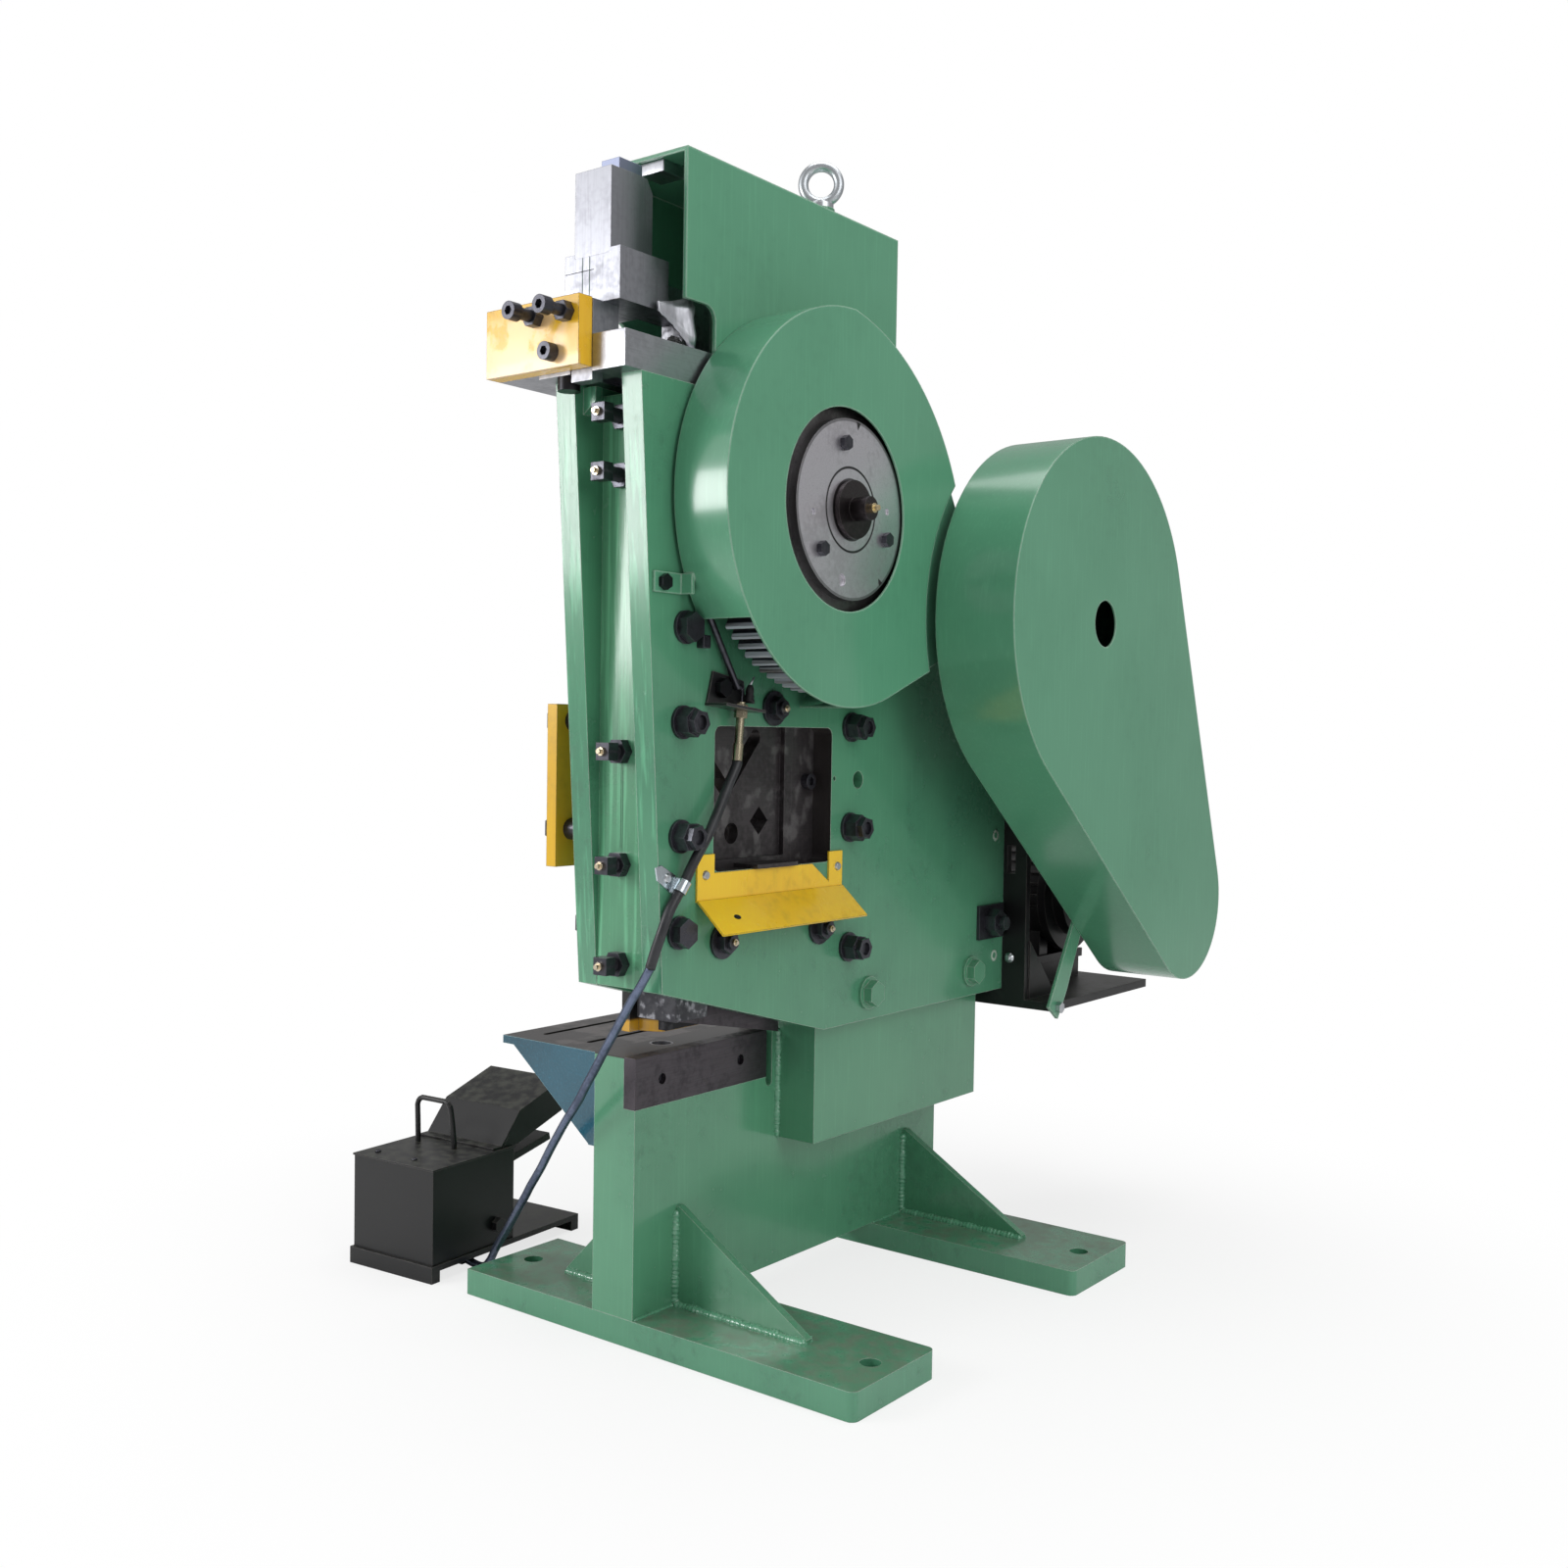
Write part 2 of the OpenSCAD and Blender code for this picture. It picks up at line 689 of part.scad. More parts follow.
// Bent sheet over the ram head, open at the front and the back
module top_cover() color(green)
    difference() {
        union() {
            cover_wall(right_x);
            cover_wall(left_x - cover_t);
            block(left_x - cover_t, right_x + cover_t, cover_front, cover_back,
                  cover_top - cover_t, cover_top);
        }
        rod_z(cover_top - 7, cover_top + 1, 26, mid_x, eye_y);
        translate([0, 0, cover_top - 7]) linear_extrude(8) round_rect(-30, 36, -425, -385, 8);
        for (x = [left_x - 7, right_x - 1])
            rod_x(x, x + 8, 25, upper_point);
    }

guard_r = wheel_r + 32;
guard_small_r = pulley_r + 55;
gear_cover_r = main_m * (main_z + 2) / 2 + 21;
gear_nose_r = 74;
gear_near_r = gear_cover_r - 16.5;          // upper rear, close to the teeth
gear_hole_c = crank_c - [15, 2];
far_c = crank_c - 100 * [cos(52), sin(52)];
step_r = guard_r + 10;                      // the face steps in beside the belt guard
step_t = 11;

module gear_cover_outline(inset)
    intersection() {
        teardrop(crank_c, gear_cover_r - inset, counter_c, gear_nose_r - inset);
        union() {
            translate(far_c) circle(r = gear_near_r + 100 - inset, $fn = 128);
            teardrop(crank_c, gear_near_r - inset, counter_c, gear_nose_r - inset);
            polygon([crank_c, counter_c + [200, -73], [400, 700], [-600, 700], [-600, 1208]]);
        }
    }

module gear_cover_solid(inset, x0, x1)
    difference() {
        slab_x(x0, x1) gear_cover_outline(inset);
        rod_x(x1 - step_t, x1 + 1, step_r + inset, wheel_c);
    }

// Sheet cover of the main gear pair, cut away at its lower front, with its fixing lugs
module gear_cover() color(green)
    difference() {
        union() {
            difference() {
                gear_cover_solid(0, cover_x0, cover_x1);
                gear_cover_solid(sheet_t, cover_x0 - 1, cover_x1 - sheet_t);
                rod_x(cover_x1 - 5, cover_x1 + 1, 145, gear_hole_c);
                slab_x(cover_x0 - 1, cover_x1 - sheet_t)
                    polygon([
                        crank_c + [-220, -169], crank_c + [-320, -169],
                        crank_c + [-320, -320], crank_c + [0, -320], crank_c + [0, -220]
                    ]);
            }
            block(right_x, right_x + 4, -496, -438, 1070, 1098);
            block(right_x, right_x + 24, -443, -438, 1070, 1098);
            block(right_x, right_x + 4, 118, 150, 986, 1012);
            block(right_x, right_x + 24, 118, 150, 1012, counter_c[1] - gear_nose_r + 4);
        }
        for (c = lug_bolts)
            rod_x(right_x - 1, right_x + 5, lug_bolt_r + bolt_gap, c);
    }

// Sheet guard around the flywheel and the motor pulley, open at the back
module belt_guard() color(green)
    union() {
        difference() {
            slab_x(guard_x0, guard_x1) teardrop(wheel_c, guard_r, motor_c, guard_small_r);
            slab_x(guard_x0 - 1, guard_x1 - sheet_t)
                teardrop(wheel_c, guard_r - sheet_t, motor_c, guard_small_r - sheet_t);
            rod_x(guard_x1 - 5, guard_x1 + 1, 38, wheel_c);
        }
        // stay from the frame to the rim
        block(right_x, guard_x0 + 6, plate_back - 60, plate_back - 20, 1130, 1138);
        block(right_x, right_x + 8, plate_back - 60, plate_back - 20, 1090, 1131);
        block(guard_x0, guard_x0 + 6, plate_back - 60, plate_back - 20, 1130, 1365);
    }

strap_bolt = [456, 409];
strap_t = 6;
module guard_strap() color(green)
    difference() {
        slab_x(guard_x0 - strap_t, guard_x0)
            polygon([[425, 412], [458, 388], [490, 436], [549, 552], [519, 568]]);
        rod_x(guard_x0 - strap_t - 1, guard_x0 + 1, 4 + bolt_gap, strap_bolt);
    }

// Small screws of the covers, the chute, the clip and the bracket
module pan_screw_x(x, r, c)
    union() {
        rod_x(x - 10, x + 0.2, pan_r, c);
        translate([x, c[0], c[1]]) rotate([0, 90, 0]) cylinder(h = 0.45 * r, r1 = r, r2 = r * 0.75);
    }

chute_screws = [[-382, 687], [-70, 682]];
clip_screw = [-460.5, 687.6];
lug_bolts = [[-478, 1084], [134, 998]];
lug_bolt_r = 6;
pan_r = 3.5;
module small_screws() color(zinc) {
    for (c = chute_screws)
        pan_screw_x(right_x + sheet_t, 7, c);
    pan_screw_x(right_x + 2, 7, clip_screw);
    for (c = lug_bolts)
        union() {
            rod_x(right_x - 12, right_x + 5, lug_bolt_r, c);
            hex_x(right_x + 4, right_x + 12, 19, c);
        }
    union() {
        rod_x(right_x - 12, right_x + 6, 8, bracket_bolt);
        hex_x(right_x + 5, right_x + 15, 24, bracket_bolt);
    }
    union() {
        rod_x(guard_x0 - 25, guard_x0 + 1, 4, strap_bolt);
        hex_x(guard_x0, guard_x0 + 9, 17, strap_bolt);
    }
    rod_z(plate_top - 18, plate_top, 15.5, -29, -537.5);
}

// ---------- shafts and motor ----------

module shaft_bushes() color(brass)
    for (x0 = [left_x, gap_x1]) {
        ring_x(x0, x0 + plate_t, crank_r + 13, crank_r + run_gap, crank_c);
        ring_x(x0, x0 + plate_t, 38, 25 + run_gap, counter_c);
        ring_x(x0, x0 + plate_t, 38, 25 + run_gap, wheel_c);
    }

shelf_z = 401;
shelf_t = 15;
rail_z = 455;                               // top of the rails under the motor
motor_x0 = -150;
motor_x1 = 100;

// Back plate on the frame with the shelf under the motor
module motor_bracket() color(black)
    difference() {
        union() {
            block(left_x, right_x + 47, plate_back, plate_back + 14, shelf_z, 800);
            block(left_x - 60, guard_x0 - strap_t, plate_back, 830, shelf_z, shelf_z + shelf_t);
            for (x = [left_x, right_x + 40])
                slab_x(x, x + 10)
                    polygon([[plate_back + 13, shelf_z + 10], [560, shelf_z + 10],
                             [plate_back + 13, 520]]);
            // rails under the motor's feet
            for (x = [motor_x0 + 40, motor_x1 - 75])
                block(x, x + 40, 590, 790, shelf_z + shelf_t - 1, rail_z);
        }
        rod_x(guard_x0 - 26, guard_x0, 4 + bolt_gap, strap_bolt);
        rod_y(plate_back - 1, plate_back + 15, 8, right_x + 16, 489);
        // slots that let the plate be set up or down
        for (x = [left_x + 28, right_x + 16])
            block(x - 8, x + 8, plate_back - 1, plate_back + 15, 640, 690);
    }

module motor_body() color(black)
    difference() {
        union() {
            rod_x(motor_x0, motor_x1 - 5, 100, motor_c);
            for (a = [0:12:348])
                if (a < 200 || a > 340)
                    translate([0, motor_c[0], motor_c[1]]) rotate([a, 0, 0])
                        block(motor_x0 + 8, motor_x1 - 12, 97, 107, -2, 2);
            rod_x(motor_x1 - 16, motor_x1, 110, motor_c);
            rod_x(motor_x1, motor_x1 + 22, 80, motor_c);
            rod_x(motor_x0 - 62, motor_x0 + 12, 108, motor_c);
            // feet
            block(motor_x0 + 30, motor_x1 - 25, 595, 785, rail_z, rail_z + 16);
            for (y = [620, 730])
                block(motor_x0 + 35, motor_x1 - 30, y, y + 30, rail_z + 15, 540);
            // terminal box
            block(-70, 30, 640, 740, 680, 740);
        }
        rod_x(motor_x1 - 40, motor_x1 + 23, 19 + run_gap, motor_c);
    }

module v_belts() color(black)
    for (i = [0:2])
        slab_x(groove_x + i * groove_step - belt_w / 2, groove_x + i * groove_step + belt_w / 2)
            difference() {
                teardrop(wheel_c, wheel_r - 0.5, motor_c, pulley_r - 0.5);
                teardrop(wheel_c, wheel_r - 0.5 - belt_h, motor_c, pulley_r - 0.5 - belt_h);
            }

// ---------- tooling ----------

// Openings for bars, shared by the fixed knife and the moving one
module profile_openings() {
    translate([-271, 738.5]) circle(r = 15.4);
    translate([-207, 754.7]) rotate(45) square(30, center = true);
    // upright V for angles, with round ends
    for (p = [[-218.2, 878.8], [-334, 851]])
        teardrop([-286, 801], 11.7, p, 11.7);
}

holder_front = -140;
holder_screw = [-105, 812];
knife_rim = 9;                              // how far the knife's rim stands out

module fixed_profile_knife() color(dark_steel)
    difference() {
        union() {
            block(knife_x + 0.3, gap_x1 - knife_rim, -367, holder_front, 684, 913);
            block(knife_x + 1, gap_x1, holder_front - 18, holder_front, 684, 913);
            block(knife_x + 1, gap_x1, -367, holder_front - 17, 684, 702);
            block(knife_x + 1, gap_x1, -367, holder_front - 17, 897, 913);
        }
        slab_x(knife_x - 1, gap_x1 + 1) profile_openings();
    }

// Holder behind the knife, and the rest bar on the window's sill
module knife_holder() color(dark_steel) {
    difference() {
        block(knife_x + 0.3, gap_x1, holder_front, -78, 684, 913);
        rod_x(gap_x1 - 16, gap_x1 + 1, 8 + bolt_gap, holder_screw);
    }
    block(gap_x1 + part_gap, right_x + 10, -275, -180, window_z0, window_z0 + 6);
}

module lower_blade() color(dark_steel)
    difference() {
        block(column_x - blade_t, column_x, front_y, front_y + blade_l,
              work_h - blade_h, work_h);
        for (s = blade_holes)
            rod_x(column_x - blade_t - 1, column_x + 1, 8, s);
    }

blade_holes = [[front_y + 58, work_h - blade_h / 2], [front_y + 238, work_h - blade_h / 2]];

// Socket-head screws of the blade, the knife holder and the yellow plate
module socket_screws() color(black) {
    for (s = blade_holes)
        difference() {
            rod_x(column_x - blade_t, column_x - 8, 8 - bolt_gap, s);
            hex_x(column_x - 14, column_x - 7, 8, s);
        }
    difference() {
        union() {
            rod_x(gap_x1 - 15, gap_x1 + 1, 8, holder_screw);
            rod_x(gap_x1, gap_x1 + 12, 12, holder_screw);
        }
        hex_x(gap_x1 + 5, gap_x1 + 13, 12, holder_screw);
    }
    for (s = jack_screws)
        socket_screw_y(bar_front - 60, s[0], s[1], 59, 8);
    socket_screw_y(bar_front - 25, lower_screw[0], lower_screw[1], 60, 8);
}

table_l = 195;
table_t = 12;
table_drop = 138;
table_back = -112;

// Slotted table on the left face of the column
module die_table() color(teal)
    difference() {
        x1 = column_x - column_t;
        x0 = x1 - table_l;
        union() {
            block(x0, x1, front_y, table_back, work_h - table_t, work_h);
            block(x1 - 12, x1, front_y, table_back, work_h - table_drop, work_h - table_t + 1);
            for (y = [front_y, table_back - 12])
                translate([0, y + 12, 0]) rotate([90, 0, 0]) linear_extrude(12)
                    polygon([
                        [x0 + 22, work_h - table_t + 1], [x1 - 10, work_h - table_t + 1],
                        [x1 - 10, work_h - table_drop]
                    ]);
        }
        for (x = [x0 + 45, x0 + 138])
            translate([0, 0, work_h - table_t - 1]) linear_extrude(table_t + 2)
                round_rect(x - 5, x + 5, front_y + 43, table_back - 40, 4.9);
    }

module die() color(steel)
    difference() {
        rod_z(work_h - 25, work_h, 18, punch_x, punch_y);
        rod_z(work_h - 26, work_h + 1, punch_r + 0.8, punch_x, punch_y);
    }

// Ring that strips the work off the punch, held on the left plate
module stripper() color(yellow)
    difference() {
        union() {
            rod_z(strip_z, strip_z + strip_t, strip_r, punch_x, punch_y);
            for (y = [punch_y - 74, punch_y + 46])
                block(left_x - 16, left_x, y, y + 28, strip_z, strip_z + 110);
        }
        rod_z(strip_z - 1, strip_z + strip_t + 1, punch_r + 3, punch_x, punch_y);
        block(gap_x0 - 0.5, punch_x + strip_r + 1, punch_y - strip_r - 1, punch_y + strip_r + 1,
              strip_z - 1, strip_z + strip_t + 1);
    }

// Bent sheet that the cut lengths slide down
module chute() color(yellow)
    difference() {
        union() {
            slab_x(right_x, right_x + sheet_t)
                polygon([
                    [-400, 716], [window_y0, 716], [window_y0, window_z0 - 0.5],
                    [-135, window_z0 - 0.5], [-92, 660], [-92, 706], [-57, 706], [-57, 650],
                    [-400, 650]
                ]);
            translate([right_x + sheet_t, -400, 650]) rotate([0, 42, 0])
                translate([-0.5, 0, 0]) cube([64, 343, sheet_t]);
        }
        for (c = chute_screws)
            rod_x(right_x - 1, right_x + 5, pan_r + bolt_gap, c);
    }

hold_x0 = left_x - 69;
hold_t = 19;

// Yellow plate that keeps bars down, on spacers outside the left plate
module hold_down_plate() color(yellow)
    difference() {
        block(hold_x0, hold_x0 + hold_t, -464, -10, 690, 922);
        for (c = long_points)
            rod_x(hold_x0 - 1, hold_x0 + hold_t + 1, 12 + bolt_gap, c);
        slab_x(hold_x0 - 1, hold_x0 + hold_t + 1) round_rect(-350, -150, 712, 880, 10);
    }

// Tubes on the studs, between the yellow plate and the left side plate
module hold_down_spacers() color(black)
    for (c = long_points)
        ring_x(hold_x0 + hold_t, left_x, 15.5, 12 + bolt_gap, c);

// ---------- cable ----------

bracket_bolt = [-357, 947];
trip_dir = unit(fit_top - fit_bottom);
wire_r = 1.5;
clip_dir = unit(sleeve_path[11] - sleeve_path[10]);
clip_at = (sleeve_path[10] + sleeve_path[11]) / 2;
shelf_tilt = -atan2(trip_dir[1], trip_dir[2]);
function on_cable(z) = fit_bottom + (z - fit_bottom[2]) / trip_dir[2] * trip_dir;

// Angle bracket of the cable's end, and the clip that holds the sleeve
module cable_brackets() color(black) {
    difference() {
        union() {
            slab_x(right_x, right_x + 4)
                polygon([[-386, 923], [-372.7, 970], [-306, 958], [-300, 914]]);
            translate([right_x, -386, 922]) rotate([shelf_tilt, 0, 0]) cube([40, 86, 4]);
        }
        rod_x(right_x - 1, right_x + 5, 8 + bolt_gap, bracket_bolt);
        bar_between(on_cable(905), on_cable(935), 6 + bolt_gap);
    }
    difference() {
        union() {
            slab_x(right_x, right_x + 2)
                polygon([[-484, 703], [-472.5, 706], [-442.6, 690], [-454, 668], [-480, 685.5]]);
            slab_x(right_x, clip_at[0] - sleeve_r + 2)
                polygon([[-454, 668], [-443, 688], [-438, 685], [-449, 665]]);
            bar_between(clip_at - 9 * clip_dir, clip_at + 9 * clip_dir, sleeve_r + 2);
        }
        bar_between(clip_at - 20 * clip_dir, clip_at + 20 * clip_dir, sleeve_r + 0.2);
        rod_x(right_x - 1, right_x + 3, pan_r + bolt_gap, clip_screw);
    }
}

// Height at which the fitting leaves the bracket's shelf
shelf_z1 = 926.1 + 4 * (cos(shelf_tilt) - 1) + (on_cable(920)[1] + 386) * tan(shelf_tilt);
module cable_fitting() color(brass)
    difference() {
        union() {
            bar_between(fit_bottom, fit_top, 6);
            bar_between(fit_bottom, fit_bottom + 24 * trip_dir, 7.5);
            bar_between(on_cable(shelf_z1), on_cable(shelf_z1 + 5), 9.5, $fn = 6);
            bar_between(on_cable(shelf_z1 - 14), on_cable(shelf_z1 - 4.2), 9.5, $fn = 6);
        }
        bar_between(fit_bottom - 5 * trip_dir, fit_top + 5 * trip_dir, wire_r + 0.7);
    }

module cable_sleeve() color(black)
    tube(sleeve_path, sleeve_r, 10);

module cable_conduit() color(dark_steel)
    tube(conduit_path, conduit_r, 10);

// ---------- pedal unit ----------

module pedal_base() color(black)
    in_pedal_frame()
        union() {
            block(-pedal_w / 2, pedal_w / 2, 0, pedal_l, pedal_foot, pedal_floor);
            block(-pedal_w / 2, pedal_w / 2, 0, pedal_foot, 0, pedal_foot + 1);
            block(-pedal_w / 2, pedal_w / 2, pedal_l - pedal_foot, pedal_l, 0, pedal_foot + 1);
            // anchor of the conduit, under the plate
            block(40, 66, 96, 124, 1, pedal_foot + 1);
        }

// Box shell with its lid
module pedal_box() color(black)
    in_pedal_frame()
        difference() {
            union() {
                block(-box_w / 2, box_w / 2, box_y0, box_y1, pedal_floor, box_top - 3);
                block(-box_w / 2 - 2, box_w / 2 + 2, box_y0 - 2, box_y1 + 2, box_top - 3, box_top);
            }
            block(-box_w / 2 + 3, box_w / 2 - 3, box_y0 + 3, box_y1 - 3, pedal_floor - 1, box_top - 3);
            block(-74, 74, box_y1 - 4, box_y1 + 1, pedal_floor + 40, box_top - 6);
            rod_x(-box_w, box_w, pin_r + bolt_gap, [pivot_y, pivot_z]);
        }

hood_profile = [
    [146, 0], [168, 0], [212, 52], [322, 88], [321, 92], [210, 56], [166, 4], [146, 4]
];

module pedal_hood() color(black)
    in_pedal_frame()
        union() {
            slab_x(-86, 86) polygon([for (p = hood_profile) [p[0], box_top + p[1]]]);
            for (x = [-86, 82])
                slab_x(x, x + 4)
                    polygon([
                        [170, box_top], [211, box_top + 54], [321, box_top + 90],
                        [318, box_top + 36], [254, box_top + 16], [206, box_top]
                    ]);
        }

// Carrying handle: two legs that lean together, joined by a round bow
handle_r = 4.5;
handle_x = [-60, 24];                       // feet of the two legs
handle_top = [-62, 16];                     // where they would meet the top
handle_rise = 77;
handle_bow = 15;
module pedal_handle() color(black)
    in_pedal_frame()
        tube(concat(
            [[handle_x[0], 118, box_top], [handle_x[0], 118, box_top + 8],
             [(handle_x[0] + handle_top[0]) / 2, 118, box_top + 40]],
            [for (a = [174:-24:6])
                let (x = a > 90 ? handle_top[0] + handle_bow : handle_top[1] - handle_bow)
                    [x + handle_bow * cos(a), 118,
                     box_top + handle_rise - handle_bow + handle_bow * sin(a)]],
            [[(handle_x[1] + handle_top[1]) / 2, 118, box_top + 40], [handle_x[1], 118, box_top + 8],
             [handle_x[1], 118, box_top]]),
            handle_r, 10);

// Pedal with its two arms, and the pin it turns on
module pedal_lever() color(black)
    in_pedal_frame() {
        difference() {
            union() {
                for (x = [-60, 48])
                    slab_x(x, x + 12)
                        polygon([
                            [pivot_y - 16, pivot_z - 14], [pivot_y + 16, pivot_z - 14],
                            [pivot_y + 34, pivot_z + 82], [pivot_y + 10, pivot_z + 82]
                        ]);
                slab_x(-70, 70)
                    polygon([
                        [pivot_y + 8, pivot_z + 78], [tread_y, tread_z - 12],
                        [tread_y - 3, tread_z], [pivot_y + 5, pivot_z + 90]
                    ]);
            }
            rod_x(-100, 100, pin_r + part_gap, [pivot_y, pivot_z]);
        }
        union() {
            rod_x(-box_w / 2 - 4, box_w / 2 + 6, pin_r, [pivot_y, pivot_z]);
            hex_x(box_w / 2 + 1, box_w / 2 + 12, 22, [pivot_y, pivot_z]);
        }
    }

// ---------- moving parts ----------

module ram() color(steel)
    difference() {
        union() {
            block(ram_x0, ram_x1, ram_front, ram_back, ram_z0, ram_z1);
            // neck between the top guide bars
            block(bar_x0 + 0.3, bar_x1 - 0.3, ram_front, ram_front + 60, ram_z1 - 1, head_z + 50);
            // toe at the lower front
            block(blade_x0, ram_x1, toe_front, toe_back, work_h + 61, ram_z0 + 1);
            // rib behind the upper blade
            block(ram_x0, blade_x0, toe_back - 6, front_y + blade_l, work_h + 32, ram_z0 + 1);
        }
        // recess for the fixed knife
        block(knife_x, ram_x1 + 1, ram_front - 1, ram_back + 1, 640, 958);
        // slot for the eccentric
        slab_x(ram_x0 - 1, ram_x1 + 1)
            translate(crank_c + [0, throw])
                square([2 * (lobe_r + throw + 3), 2 * (lobe_r + lobe_play)], center = true);
        // pocket of the moving knife
        block(ram_x0 - 1, knife_x + 1, knife_front, knife_back, knife_z0, knife_z1);
    }

head_w = 101;
head_x0 = mid_x - head_w / 2;

// Head that joins the ram's neck to the guide tongue in front
module ram_head() color(steel)
    union() {
        difference() {
            block(head_x0, head_x0 + head_w, -534.5, -440, head_z, head_z + 69);
            block(mid_x - 33, mid_x + 33, -536, -439, head_z + 63, head_z + 70);
        }
        block(bar_x0 + 0.3, bar_x1 - 0.3, -441, ram_front, head_z + 5, head_z + 50);
        block(bar_x0 + 0.3, bar_x1 - 0.3, bar_front + 1, -532, plate_top - 11, head_z + 1);
        // raised behind, clear of the top gib screw when the ram is down
        block(bar_x0 + 0.3, bar_x1 - 0.3, -533, -503, plate_top + 1, head_z + 1);
    }

// Block on the head, and the bolt that holds it down
module head_block() color(steel) {
    difference() {
        slab_x(mid_x - 33, mid_x + 33)
            polygon([
                [-534.5, head_z + 63], [-454.5, head_z + 63], [-454.5, head_z + 158],
                [-466, head_z + 176], [-534.5, head_z + 176]
            ]);
        rod_z(head_z + 70, head_z + 177, 10 + bolt_gap, mid_x + 17, -498);
    }
    union() {
        rod_z(head_z + 72, head_z + 177, 10, mid_x + 17, -498);
        block(mid_x + 1, mid_x + 33, -520, -476, head_z + 176 + part_gap, head_z + 190);
    }
}

function blade_edge(y) = work_h + 43 - (y + 312) * blade_rake;

module upper_blade() color(dark_steel)
    difference() {
        slab_x(blade_x0, blade_x1)
            polygon([
                [toe_back, blade_edge(toe_back)], [front_y + blade_l, blade_edge(front_y + blade_l)],
                [front_y + blade_l, ram_z0], [toe_back, ram_z0]
            ]);
        for (y = [toe_back + 50, toe_back + 170])
            rod_x(blade_x0 - 1, blade_x1 + 1, 7, [y, blade_edge(y) + 30]);
    }

module moving_profile_knife() color(dark_steel)
    difference() {
        block(knife_x - 40, knife_x, knife_front, knife_back, knife_z0, knife_z1);
        slab_x(knife_x - 41, knife_x + 1) profile_openings();
    }

// Arm through the left plate with the punch under it
module punch() color(steel)
    union() {
        block(punch_x - 26, ram_x0, punch_y - 33, punch_y + 33, ram_z0 - 16, ram_z0 + 47);
        rod_z(strip_z + 60, ram_z0 - 15, 24, punch_x, punch_y);
        rod_z(strip_z + 1, strip_z + 61, punch_r, punch_x, punch_y);
    }

module eccentric_shaft() color(steel) {
    union() {
        rod_x(left_x - 3, disc_x1 + 8, crank_r, crank_c);
        rod_x(ram_x0 + 2, ram_x1 - 2, lobe_r, crank_c + [0, throw]);
        rod_x(disc_x1 + 1, disc_x1 + 9, 42, crank_c);
        rod_x(disc_x1 + 8, disc_x1 + 36, 17, crank_c);
        rod_x(left_x - 14, left_x - 1, 50, crank_c);
    }
    union() {
        rod_x(disc_x1 + 36 + part_gap, disc_x1 + 42, 7, crank_c);
        rod_x(disc_x1 + 41, disc_x1 + 49, 4, crank_c);
    }
}

module main_gear() color(dark_steel)
    difference() {
        union() {
            gear_x(gear_x0, gear_x1, main_m, main_z, bearing_of(crank_c, counter_c), crank_c);
            rod_x(right_x + 2, gear_x1, crank_r + 22, crank_c);
        }
        rod_x(right_x, gear_x1 + 1, crank_r + run_gap, crank_c);
        turned_x(crank_c, [
            [150, gear_x1 + 1], [225, gear_x1 + 1], [225, gear_x1 - 18], [150, gear_x1 - 18]
        ]);
        for (a = disc_bolt_angles)
            rod_x(gear_x1 - 25, gear_x1 + 1, 6 + bolt_gap, disc_bolt_c(a));
    }

disc_bolt_angles = [102, 221, 339];
function disc_bolt_c(a) = crank_c + 95 * [cos(a), sin(a)];

// Clutch disc on the face of the main gear
module clutch_disc() color(steel)
    difference() {
        rod_x(gear_x1, disc_x1, 130, crank_c);
        rod_x(gear_x1 - 1, disc_x1 + 1, crank_r + run_gap, crank_c);
        for (a = disc_bolt_angles)
            rod_x(gear_x1 - 1, disc_x1 + 1, 6 + bolt_gap, disc_bolt_c(a));
        for (a = [5, 188])
            rod_x(disc_x1 - 4, disc_x1 + 1, 5, crank_c + 92 * [cos(a), sin(a)]);
        rod_x(disc_x1 - 4, disc_x1 + 1, 9, crank_c + 104 * [cos(259), sin(259)]);
        turned_x(crank_c, [
            [59, disc_x1 + 1], [61.5, disc_x1 + 1], [61.5, disc_x1 - 1], [59, disc_x1 - 1]
        ]);
    }

module disc_bolts() color(black)
    for (a = disc_bolt_angles)
        union() {
            rod_x(gear_x1 - 24, disc_x1 + 1, 6, disc_bolt_c(a));
            hex_x(disc_x1, disc_x1 + 9, 19, disc_bolt_c(a));
        }

// Intermediate shaft with its gear between the plates and its pinion outside
module counter_gears() color(dark_steel) {
    union() {
        rod_x(left_x - 3, gear_x1 + 3, 25, counter_c);
        rod_x(left_x - 12, left_x - 2, 40, counter_c);
        gear_x(gear_x0 - 3, gear_x1 + 3, main_m, pinion_z,
               bearing_of(counter_c, crank_c) + 180 / pinion_z, counter_c);
    }
    difference() {
        union() {
            rod_x(gap_x0 + 2, gap_x1 - 2, 42, counter_c);
            gear_x(mid_x - 20, mid_x + 20, counter_m, counter_z,
                   bearing_of(counter_c, wheel_c), counter_c);
        }
        rod_x(gap_x0, gap_x1, 25 + part_gap, counter_c);
    }
}

// Radius and place of each corner of three belt grooves in a rim
function groove_points(r) = [
    for (i = [0:2]) let (x = groove_x + i * groove_step)
        for (p = [[0, -9], [belt_h + 1, -7.2], [belt_h + 1, 7.2], [0, 9]])
            [r - p[0], x + p[1]]
];
rim_x0 = groove_x - 14;
rim_x1 = groove_x + 2 * groove_step + 14;
web_x1 = groove_x + groove_step + 12;

